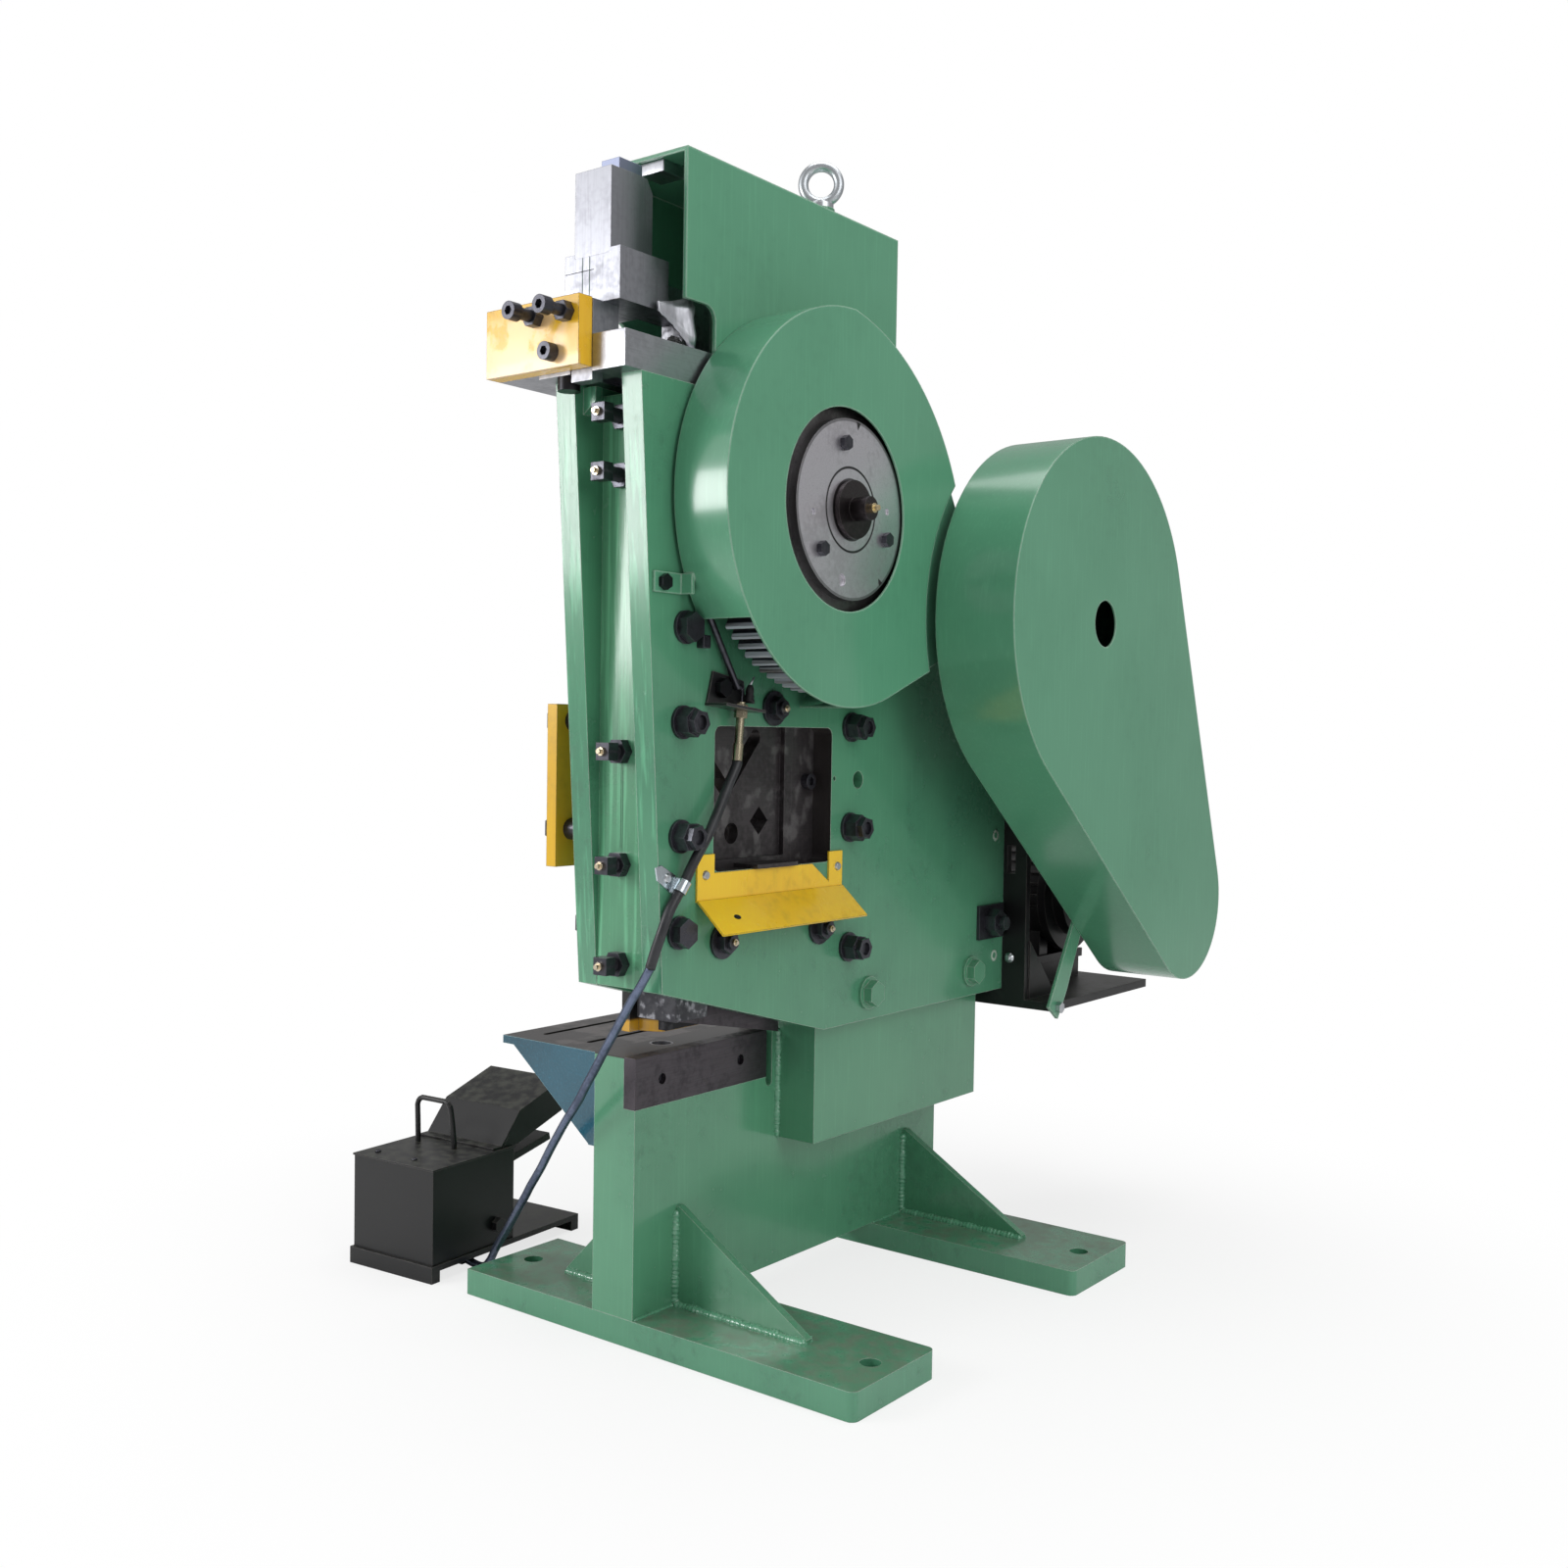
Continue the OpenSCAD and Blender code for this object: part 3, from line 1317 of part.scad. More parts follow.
// Flywheel, and the shaft that carries it with the first pinion
module flywheel() color(dark_steel) {
    turned_x(wheel_c, concat(
        [[25 + part_gap, rim_x0], [wheel_r, rim_x0]],
        groove_points(wheel_r),
        [[wheel_r, rim_x1], [wheel_r - 40, rim_x1], [wheel_r - 40, web_x1],
         [62, web_x1], [62, rim_x1 + 10], [25 + part_gap, rim_x1 + 10]]));
    union() {
        rod_x(left_x - 3, rim_x1 + 24, 25, wheel_c);
        rod_x(left_x - 12, left_x - 2, 40, wheel_c);
        gear_x(mid_x - 24, mid_x + 24, counter_m, drive_z,
               bearing_of(wheel_c, counter_c) + 180 / drive_z, wheel_c);
    }
}

// Motor pulley, and the motor's shaft
module motor_pulley() color(dark_steel) {
    turned_x(motor_c, concat(
        [[19 + part_gap, rim_x0], [pulley_r, rim_x0]],
        groove_points(pulley_r),
        [[pulley_r, rim_x1], [19 + part_gap, rim_x1]]));
    rod_x(motor_x1 - 38, rim_x1 + 6, 19, motor_c);
}

// Rod from the cable's wire up to the clutch. It slides along the wire.
rod_low = [97, -325.5, 947];
rod_dir = unit([0, -67.7, 104.1]);
module trip_rod() color(black) {
    eye = fit_top + 17.5 * trip_dir;
    union() {
        bar_between(rod_low, rod_low + 130 * rod_dir, 4.6);
        bar_between(eye, rod_low + [0, 0, 4], 4);
        bar_between(fit_top - 20 * trip_dir, eye + 2 * trip_dir, wire_r);
    }
}

// ---------- what is drawn ----------

feet();
foot_gussets();
base_column();
carrier_block();
carrier_bolts();
side_plate_right();
side_plate_left();
front_guide_bar();
rear_guide_bars();
eye_bolt();
gib_strip();
gib_screws();
hex_nuts();
grease_nipples();
guide_studs();
guide_washers();
top_guide_bars();
adjuster_plate();
socket_screws();
top_cover();
gear_cover();
belt_guard();
guard_strap();
small_screws();
shaft_bushes();
motor_bracket();
motor_body();
v_belts();
fixed_profile_knife();
knife_holder();
lower_blade();
die_table();
die();
stripper();
chute();
hold_down_plate();
hold_down_spacers();
cable_brackets();
cable_fitting();
cable_sleeve();
cable_conduit();
pedal_base();
pedal_box();
pedal_hood();
pedal_handle();
ram();
ram_head();
head_block();
upper_blade();
moving_profile_knife();
punch();
eccentric_shaft();
main_gear();
clutch_disc();
disc_bolts();
counter_gears();
flywheel();
motor_pulley();
trip_rod();
pedal_lever();
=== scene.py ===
"""Finishes, welds, cables, greasy parts, light and camera of a mechanical ironworker."""

import json
import logging
import math
import random
from collections.abc import Callable, Sequence
from dataclasses import dataclass
from enum import Enum
from typing import Any

import bmesh
import bpy
from mathutils import Matrix, Vector, noise

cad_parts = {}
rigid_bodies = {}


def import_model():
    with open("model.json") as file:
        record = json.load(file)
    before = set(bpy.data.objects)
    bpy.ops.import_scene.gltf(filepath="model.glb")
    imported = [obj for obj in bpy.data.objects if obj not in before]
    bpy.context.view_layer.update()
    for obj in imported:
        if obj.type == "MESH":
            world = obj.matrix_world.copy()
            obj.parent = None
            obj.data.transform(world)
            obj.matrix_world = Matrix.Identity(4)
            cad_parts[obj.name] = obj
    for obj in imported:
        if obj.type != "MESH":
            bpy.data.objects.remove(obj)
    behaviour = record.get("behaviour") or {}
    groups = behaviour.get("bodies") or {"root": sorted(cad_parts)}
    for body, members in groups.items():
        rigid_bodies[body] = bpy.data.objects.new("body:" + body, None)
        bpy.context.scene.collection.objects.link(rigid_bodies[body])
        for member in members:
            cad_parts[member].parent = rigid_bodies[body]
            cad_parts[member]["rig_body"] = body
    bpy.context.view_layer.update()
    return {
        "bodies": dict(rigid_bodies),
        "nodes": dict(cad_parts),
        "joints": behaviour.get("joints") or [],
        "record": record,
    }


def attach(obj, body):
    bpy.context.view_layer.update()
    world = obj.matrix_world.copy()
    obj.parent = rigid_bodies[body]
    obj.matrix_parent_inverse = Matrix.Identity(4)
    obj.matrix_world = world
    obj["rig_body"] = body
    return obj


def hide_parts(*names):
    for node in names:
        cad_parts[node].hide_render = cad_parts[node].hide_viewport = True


log = logging.getLogger("ironworker")
Colour = tuple[float, float, float]
Point = tuple[float, float, float]
Shape = bmesh.types.BMesh
MM = 0.001
FRAME_BODY = "frame"
# Y and Z of the two shafts, and of the profile window's sides, in millimetres.
CRANK = (-178.0, 1208.0)
WHEEL_AXIS = (332.0, 1072.0)
WINDOW = ((-364.6, -83.6), (689.2, 895.0))
# A side of a region that is left open.
FAR = 9999.0
OPEN = (-FAR, FAR)


def rgb(red: int, green: int, blue: int) -> Colour:
    """A colour given in 0 to 255, as linear light.

    Args:
        red: Amount of red.
        green: Amount of green.
        blue: Amount of blue.

    Returns:
        The linear colour.
    """

    def linear(level: int) -> float:
        """One channel as linear light."""
        part = level / 255
        return part / 12.92 if part <= 0.04045 else ((part + 0.055) / 1.055) ** 2.4

    return linear(red), linear(green), linear(blue)


def lit(colour: Colour, gain: float, lift: float = 0.0) -> Colour:
    """A colour made lighter or darker.

    Args:
        colour: The colour to start from.
        gain: What each channel is multiplied by.
        lift: What is added to it then.

    Returns:
        The new colour, no channel over 1.
    """
    red, green, blue = (min(1.0, level * gain + lift) for level in colour)
    return red, green, blue


class Lay(Enum):
    """The direction in which a finish was brushed or ground."""

    ALONG_X = (0.04, 1.0, 1.0)
    ALONG_Y = (1.0, 0.04, 1.0)
    ALONG_Z = (1.0, 1.0, 0.04)
    NONE = (1.0, 1.0, 1.0)


def operator(operation: str, swapped: bool = False) -> Callable[..., "Val"]:
    """An operator of Val that adds one Math node.

    Args:
        operation: What the node works out.
        swapped: Whether the other value comes first.

    Returns:
        The operator.
    """

    def apply(value: "Val", *others: Any) -> "Val":
        """Add the node."""
        operands = (*others, value) if swapped else (value, *others)
        return value.graph.math(operation, *operands)

    return apply


class Val:
    """A number socket of a shader that takes part in Python arithmetic."""

    def __init__(self, graph: "Graph", socket: Any) -> None:
        """Keep the socket and its graph."""
        self.graph = graph
        self.socket = socket

    __add__ = __radd__ = operator("ADD")
    __sub__ = operator("SUBTRACT")
    __rsub__ = operator("SUBTRACT", swapped=True)
    __mul__ = __rmul__ = operator("MULTIPLY")
    __truediv__ = operator("DIVIDE")
    __pow__ = operator("POWER")
    __abs__ = operator("ABSOLUTE")
    least = operator("MINIMUM")
    most = operator("MAXIMUM")
    sine = operator("SINE")

    def ramp(self, low: float, high: float) -> "Val":
        """Smooth step from 0 at one value to 1 at the other.

        Args:
            low: The value that gives 0.
            high: The value that gives 1, which may be the smaller one.

        Returns:
            A value from 0 to 1.
        """
        inputs = {"Value": self, "From Min": low, "From Max": high}
        return self.graph.value("ShaderNodeMapRange", {"interpolation_type": "SMOOTHSTEP"}, inputs)


class Graph:
    """The shader nodes of one material."""

    def __init__(self, name: str) -> None:
        """Start an empty material of that name.

        Args:
            name: The material's name.
        """
        self.material = bpy.data.materials.new(name)
        self.material.use_nodes = True
        self.tree = self.material.node_tree
        self.tree.nodes.clear()
        spot = self.node("ShaderNodeTexCoord")
        self.place = spot.outputs["Object"]
        parts = self.node("ShaderNodeSeparateXYZ", None, {0: self.place})
        self.x, self.y, self.z = (Val(self, parts.outputs[i]) for i in range(3))
        shape = self.node("ShaderNodeNewGeometry")
        self.facing = shape.outputs["Normal"]
        turned = self.node("ShaderNodeSeparateXYZ", None, {0: self.facing})
        self.nx, self.ny, self.nz = (Val(self, turned.outputs[i]) for i in range(3))

    def node(
        self,
        kind: str,
        settings: dict[str, Any] | None = None,
        inputs: dict[str | int, Any] | None = None,
    ) -> Any:
        """Add a node, set it up and feed it.

        Args:
            kind: The node's type.
            settings: Properties, set first.
            inputs: Values or links by the socket's name or number.

        Returns:
            The node.
        """
        made = self.tree.nodes.new(kind)
        for key, value in (settings or {}).items():
            setattr(made, key, value)
        for key, value in (inputs or {}).items():
            self.feed(made.inputs[key], value)
        return made

    def value(
        self, kind: str, settings: dict[str, Any] | None, inputs: dict[str | int, Any], out: str | int = 0
    ) -> Val:
        """The same, giving one of the node's outputs as a Val."""
        return Val(self, self.node(kind, settings, inputs).outputs[out])

    def feed(self, socket: Any, value: Any) -> None:
        """Link or set one socket.

        Args:
            socket: The socket to fill.
            value: A Val, an output socket, a number or a colour.
        """
        if isinstance(value, Val):
            value = value.socket
        if isinstance(value, bpy.types.NodeSocket):
            self.tree.links.new(value, socket)
        elif isinstance(value, tuple) and socket.type == "RGBA":
            socket.default_value = (*value, 1.0)
        else:
            socket.default_value = value

    def math(self, operation: str, *values: Any) -> Val:
        """A Math node over one or two values."""
        return self.value("ShaderNodeMath", {"operation": operation}, dict(enumerate(values)))

    def stretched(self, lay: Lay) -> Any:
        """The place on the surface, drawn out along the direction of the lay."""
        inputs = {0: self.place, 1: lay.value}
        return self.node("ShaderNodeVectorMath", {"operation": "MULTIPLY"}, inputs).outputs[0]

    def noise(self, scale: float, detail: float = 3.0, lay: Lay = Lay.NONE) -> Val:
        """Soft noise.

        Args:
            scale: Waves in a metre.
            detail: Finer layers on top.
            lay: Direction in which the noise is drawn out.

        Returns:
            A value around 0.5.
        """
        place = self.place if lay is Lay.NONE else self.stretched(lay)
        inputs = {"Vector": place, "Scale": scale, "Detail": detail}
        return self.value("ShaderNodeTexNoise", None, inputs)

    def lines(self, value: Val, scale: float) -> Val:
        """Noise that follows one value only, as turned grooves do."""
        place = self.node("ShaderNodeCombineXYZ", None, {0: value}).outputs[0]
        return self.value("ShaderNodeTexNoise", None, {"Vector": place, "Scale": scale, "Detail": 2.0})

    def radius(self, y: float, z: float) -> Val:
        """Distance from a shaft's axis that runs across the machine."""
        return ((self.y - y) ** 2 + (self.z - z) ** 2) ** 0.5

    def mix(self, factor: Any, under: Any, over: Any) -> Any:
        """One colour laid over another.

        Args:
            factor: How much of the upper colour shows.
            under: The lower colour.
            over: The upper colour.

        Returns:
            The colour socket.
        """
        settings = {"data_type": "RGBA", "clamp_factor": True}
        return self.node("ShaderNodeMix", settings, {0: factor, 6: under, 7: over}).outputs[2]

    def rounded(self, radius: float) -> Any:
        """The surface's direction with its sharp edges eased."""
        return self.node("ShaderNodeBevel", {"samples": 4}, {"Radius": radius}).outputs[0]

    def edges(self, rounded: Any) -> Val:
        """1 on a sharp edge and 0 on a flat."""
        inputs = {0: rounded, 1: self.facing}
        return (1 - self.value("ShaderNodeVectorMath", {"operation": "DOT_PRODUCT"}, inputs, "Value")) * 6


@dataclass
class Coat:
    """What a finish has worked out so far for one surface."""

    colour: Any
    rough: Any
    metal: Any
    height: Any
    rounded: Any


Layer = Callable[[Graph, Coat], None]


@dataclass(frozen=True)
class Enamel:
    """Glossy paint laid on thick with a brush, chipped and a little dirty."""

    name: str
    colour: Colour
    shade: Colour
    chip: Colour
    rough: float = 0.24
    chips: float = 0.5
    grime: float = 0.3
    stroke: float = 40e-6
    lay: Lay = Lay.ALONG_Z
    front_stroke: float = 0.0
    ease: float = 1.6
    streak: float = 0.16
    gloss: float = 0.35
    layers: tuple[Layer, ...] = ()

    def make(self) -> bpy.types.Material:
        """Build the paint.

        Returns:
            The paint.
        """
        g = Graph(self.name)
        rounded = g.rounded(self.ease * MM)
        edge = g.edges(rounded)
        broad = g.noise(5.0, 3.0)
        fine = g.noise(55.0, 4.0)
        strokes = g.noise(230.0, 3.0, self.lay)
        flecks = g.noise(340.0, 2.0)
        colour = g.mix(broad.ramp(0.34, 0.68) * 0.55, self.colour, self.shade)
        colour = g.mix(strokes.ramp(0.5, 0.75) * self.streak, colour, lit(self.colour, 1.5))
        dirt = (fine * 0.6 + broad * 0.5).ramp(0.58, 0.8) * self.grime
        colour = g.mix(dirt, colour, lit(self.shade, 0.42))
        dust = g.nz.ramp(0.7, 0.95) * fine.ramp(0.35, 0.7) * self.grime
        colour = g.mix(dust, colour, rgb(128, 130, 118))
        worn = (edge + flecks * 0.9 + fine * 0.5).ramp(1.32 - self.chips * 0.3, 1.4 - self.chips * 0.3)
        knocks = (flecks * 0.5 + fine * 0.5).ramp(0.71, 0.735) * self.chips
        worn = worn.most(knocks)
        # Painted highlight: the rounded edges are painted lighter than the paint.
        colour = g.mix(edge.ramp(0.05, 0.6) * 0.3, colour, lit(self.colour, 1.7))
        colour = g.mix(worn, colour, self.chip)
        rough = self.rough + (broad - 0.5) * 0.16 + dirt * 0.35 + dust * 0.35 + worn * 0.25
        height = strokes * self.stroke + fine * 60e-6 - worn * 60e-6
        if self.front_stroke > 0:
            front = abs(g.ny).ramp(0.6, 0.9)
            thick = g.noise(120.0, 4.0, Lay.ALONG_Z)
            height = height + thick * front * self.front_stroke
            # Painted highlight: where a face looks to the front or back, the thick brush strokes are painted
            # lighter as glints.
            colour = g.mix(front * thick.ramp(0.5, 0.66) * 0.5, colour, lit(self.colour, 1.9))
        return close(g, Coat(colour, rough, 0.0, height, rounded), self.layers, self.gloss)


@dataclass(frozen=True)
class Steel:
    """Bare, ground, blackened or plated metal with oil and stains."""

    name: str
    colour: Colour
    stain: Colour
    rough: float = 0.32
    lay: Lay = Lay.NONE
    scratch: float = 8e-6
    stains: float = 0.5
    metal: float = 1.0
    bright_edge: float = 0.4
    grain: float = 500.0
    layers: tuple[Layer, ...] = ()

    def make(self) -> bpy.types.Material:
        """Build the metal.

        Returns:
            The metal.
        """
        g = Graph(self.name)
        rounded = g.rounded(0.9 * MM)
        edge = g.edges(rounded)
        broad = g.noise(14.0, 4.0)
        fine = g.noise(120.0, 3.0)
        grain = g.noise(self.grain, 3.0, self.lay)
        marks = (broad * 0.7 + fine * 0.45).ramp(0.52, 0.72) * self.stains
        colour = g.mix(marks, self.colour, self.stain)
        colour = g.mix(grain.ramp(0.42, 0.7) * 0.28, colour, lit(self.colour, 0.55))
        # The edges are painted lighter: partly wear to brighter metal, partly a painted highlight.
        light = lit(self.colour, 1.5, 0.06)
        colour = g.mix((edge + fine * 0.4).ramp(0.35, 0.9) * self.bright_edge, colour, light)
        rough = self.rough + (broad - 0.5) * 0.2 + marks * 0.18 + (grain - 0.5) * 0.16
        height = grain * self.scratch + fine * 12e-6
        return close(g, Coat(colour, rough, self.metal, height, rounded), self.layers)


@dataclass(frozen=True)
class Rubber:
    """Matt rubber or soft plastic with dust and greasy places."""

    name: str
    colour: Colour
    rough: float = 0.6
    weave: float = 0.0

    def make(self) -> bpy.types.Material:
        """Build the rubber.

        Returns:
            The rubber.
        """
        g = Graph(self.name)
        rounded = g.rounded(0.5 * MM)
        broad = g.noise(30.0, 3.0)
        fine = g.noise(420.0, 3.0)
        colour = g.mix(broad.ramp(0.4, 0.7) * 0.5, self.colour, lit(self.colour, 2.2, 0.01))
        colour = g.mix(fine.ramp(0.6, 0.75) * 0.3, colour, rgb(96, 94, 90))
        rough = self.rough + (broad - 0.5) * 0.25 + (fine - 0.5) * 0.1
        height = fine * 30e-6 + broad * self.weave
        return close(g, Coat(colour, rough, 0.0, height, rounded))


def close(
    g: Graph, coat: Coat, layers: tuple[Layer, ...] = (), coat_weight: float = 0.0
) -> bpy.types.Material:
    """Lay the layers over a finish and wire it into its shader.

    Args:
        g: The material's graph.
        coat: The colour, roughness, metal and height.
        layers: What lies over them, in order.
        coat_weight: How much clear gloss lies on top.

    Returns:
        The finished material.
    """
    for layer in layers:
        layer(g, coat)
    relief = {"Strength": 1.0, "Distance": 1.0, "Height": coat.height, "Normal": coat.rounded}
    bump = g.node("ShaderNodeBump", None, relief)
    shader = g.node(
        "ShaderNodeBsdfPrincipled",
        None,
        {
            "Base Color": coat.colour,
            "Roughness": coat.rough,
            "Metallic": coat.metal,
            "Coat Weight": coat_weight,
            "Coat Roughness": 0.12,
            "Normal": bump.outputs[0],
        },
    )
    out = g.node("ShaderNodeOutputMaterial")
    g.tree.links.new(shader.outputs[0], out.inputs["Surface"])
    return g.material


@dataclass(frozen=True)
class Box:
    """A region of the machine, in millimetres, with a soft border."""

    x: tuple[float, float] = OPEN
    y: tuple[float, float] = OPEN
    z: tuple[float, float] = OPEN
    soft: float = 1.0

    def mask(self, g: Graph) -> Val:
        """1 inside the region and 0 outside.

        Args:
            g: The material's graph.

        Returns:
            A value from 0 to 1, or the plain number 1 if no side is closed.
        """
        made: Any = 1.0
        for axis, (low, high) in zip((g.x, g.y, g.z), (self.x, self.y, self.z)):
            if low > -FAR:
                made = axis.ramp((low - self.soft) * MM, (low + self.soft) * MM) * made
            if high < FAR:
                made = axis.ramp((high + self.soft) * MM, (high - self.soft) * MM) * made
        return made


@dataclass(frozen=True)
class Stain:
    """A region that is dirty, greasy, worn or of another metal."""

    region: Box
    colour: Colour
    rough: float
    metal: float = 0.0
    cover: float = 1.0
    patchy: float = 0.0
    scale: float = 45.0
    top_only: bool = False

    def __call__(self, g: Graph, coat: Coat) -> None:
        """Lay the stain over what is there.

        Args:
            g: The material's graph.
            coat: What it is laid over, changed in place.
        """
        mask = self.region.mask(g) * self.cover
        if self.top_only:
            mask = mask * g.nz.ramp(0.5, 0.9)
        if self.patchy > 0:
            spots = g.noise(self.scale, 4.0)
            mask = mask * spots.ramp(self.patchy - 0.06, self.patchy + 0.06)
        coat.colour = g.mix(mask, coat.colour, self.colour)
        coat.rough = coat.rough * (1 - mask) + self.rough * mask
        coat.metal = coat.metal * (1 - mask) + self.metal * mask if self.metal != coat.metal else coat.metal


@dataclass(frozen=True)
class HoleShade:
    """A small dark spot on a face that looks along the shafts, painted where a hole is: painted shade in the hole.
    """

    y: float
    z: float
    wide: float
    high: float
    colour: Colour

    def __call__(self, g: Graph, coat: Coat) -> None:
        """Paint the dark spot over what is there.

        Args:
            g: The material's graph.
            coat: What it is laid over, changed in place.
        """
        across = ((g.y - self.y * MM) / (self.wide * MM)) ** 2 + ((g.z - self.z * MM) / (self.high * MM)) ** 2
        mask = across.ramp(1.15, 0.85)
        coat.colour = g.mix(mask, coat.colour, self.colour)
        coat.height = coat.height - mask * 0.4 * MM


@dataclass(frozen=True)
class Crack:
    """Thin lines in the paint where two parts meet under it."""

    at: tuple[float, ...]
    low: float
    high: float
    half: float = 0.5

    def __call__(self, g: Graph, coat: Coat) -> None:
        """Draw the lines.

        Args:
            g: The material's graph.
            coat: What it is laid over, changed in place.
        """
        wobble = (g.noise(30.0, 2.0) - 0.5) * 2.4 * MM
        for x in self.at:
            near = abs(g.x - x * MM + wobble).ramp((self.half + 0.35) * MM, (self.half - 0.25) * MM)
            mask = near * Box(z=(self.low, self.high), soft=3.0).mask(g)
            coat.colour = g.mix(mask * 0.8, coat.colour, rgb(40, 62, 52))
            coat.height = coat.height - mask * 0.15 * MM


@dataclass(frozen=True)
class Seam:
    """A level joint line on a front face."""

    z: float
    x: tuple[float, float]
    behind: float
    half: float = 0.6

    def __call__(self, g: Graph, coat: Coat) -> None:
        """Draw the line.

        Args:
            g: The material's graph.
            coat: What it is laid over, changed in place.
        """
        level = (self.z - self.half, self.z + self.half)
        mask = Box(self.x, (-FAR, self.behind), level, soft=0.5).mask(g)
        coat.colour = g.mix(mask * 0.85, coat.colour, rgb(48, 48, 50))
        coat.height = coat.height - mask * 0.2 * MM


@dataclass(frozen=True)
class Threads:
    """Threads on the screws that run front to back."""

    x: float
    places: tuple[float, ...]
    reach: float
    pitch: float = 2.5

    def __call__(self, g: Graph, coat: Coat) -> None:
        """Cut the threads.

        Args:
            g: The material's graph.
            coat: What it is laid over, changed in place.
        """
        near: Any = 1.0
        for z in self.places:
            near = abs(g.z - z * MM).least(near)
        away = ((g.x - self.x * MM) ** 2 + near**2) ** 0.5
        mask = away.ramp((self.reach + 0.3) * MM, (self.reach - 0.1) * MM) * abs(g.ny).ramp(0.3, 0.1)
        turn = (g.y * (2 * math.pi / (self.pitch * MM))).sine()
        coat.height = coat.height + mask * turn * 0.35 * MM
        # Painted shade: the thread grooves are painted near black.
        coat.colour = g.mix(mask * turn.ramp(0.2, -0.9) * 0.75, coat.colour, rgb(12, 12, 13))


@dataclass(frozen=True)
class Turned:
    """Fine grooves round a shaft's axis, with darker and lighter rings."""

    y: float
    z: float
    depth: float = 14e-6
    rings: tuple[tuple[float, float, Colour, float], ...] = ()

    def __call__(self, g: Graph, coat: Coat) -> None:
        """Turn the grooves and lay the rings.

        Args:
            g: The material's graph.
            coat: What it is laid over, changed in place.
        """
        away = g.radius(self.y * MM, self.z * MM)
        face = abs(g.nx).ramp(0.5, 0.9)
        grooves = g.lines(away, 1500.0)
        coat.height = coat.height + grooves * face * self.depth
        coat.rough = coat.rough + (grooves - 0.5) * 0.2 * face
        for low, high, colour, cover in self.rings:
            mask = away.ramp((low - 0.6) * MM, (low + 0.6) * MM) * away.ramp((high + 0.6) * MM, (high - 0.6) * MM)
            coat.colour = g.mix(mask * cover, coat.colour, colour)


@dataclass(frozen=True)
class Greasy:
    """Dark grease that lies in the roots of the teeth and leaves their tips pale."""

    y: float
    z: float
    tip: float
    root: float

    def __call__(self, g: Graph, coat: Coat) -> None:
        """Lay the grease.

        Args:
            g: The material's graph.
            coat: What it is laid over, changed in place.
        """
        away = g.radius(self.y * MM, self.z * MM)
        smear = g.noise(90.0, 4.0, Lay.ALONG_X)
        tips = (away + (smear - 0.5) * 5 * MM).ramp((self.tip - 1.6) * MM, self.tip * MM)
        grease = (away + (smear - 0.5) * 10 * MM).ramp((self.root - 5) * MM, self.root * MM) * (1 - tips)
        coat.colour = g.mix(grease * 0.92, coat.colour, rgb(24, 32, 44))
        coat.colour = g.mix(tips * smear.ramp(0.36, 0.56), coat.colour, rgb(190, 197, 206))
        coat.rough = coat.rough * (1 - grease) + (0.18 + smear * 0.2) * grease
        coat.metal = coat.metal - tips * 0.75 - grease * 0.6
        coat.height = coat.height + smear * grease * 0.5 * MM


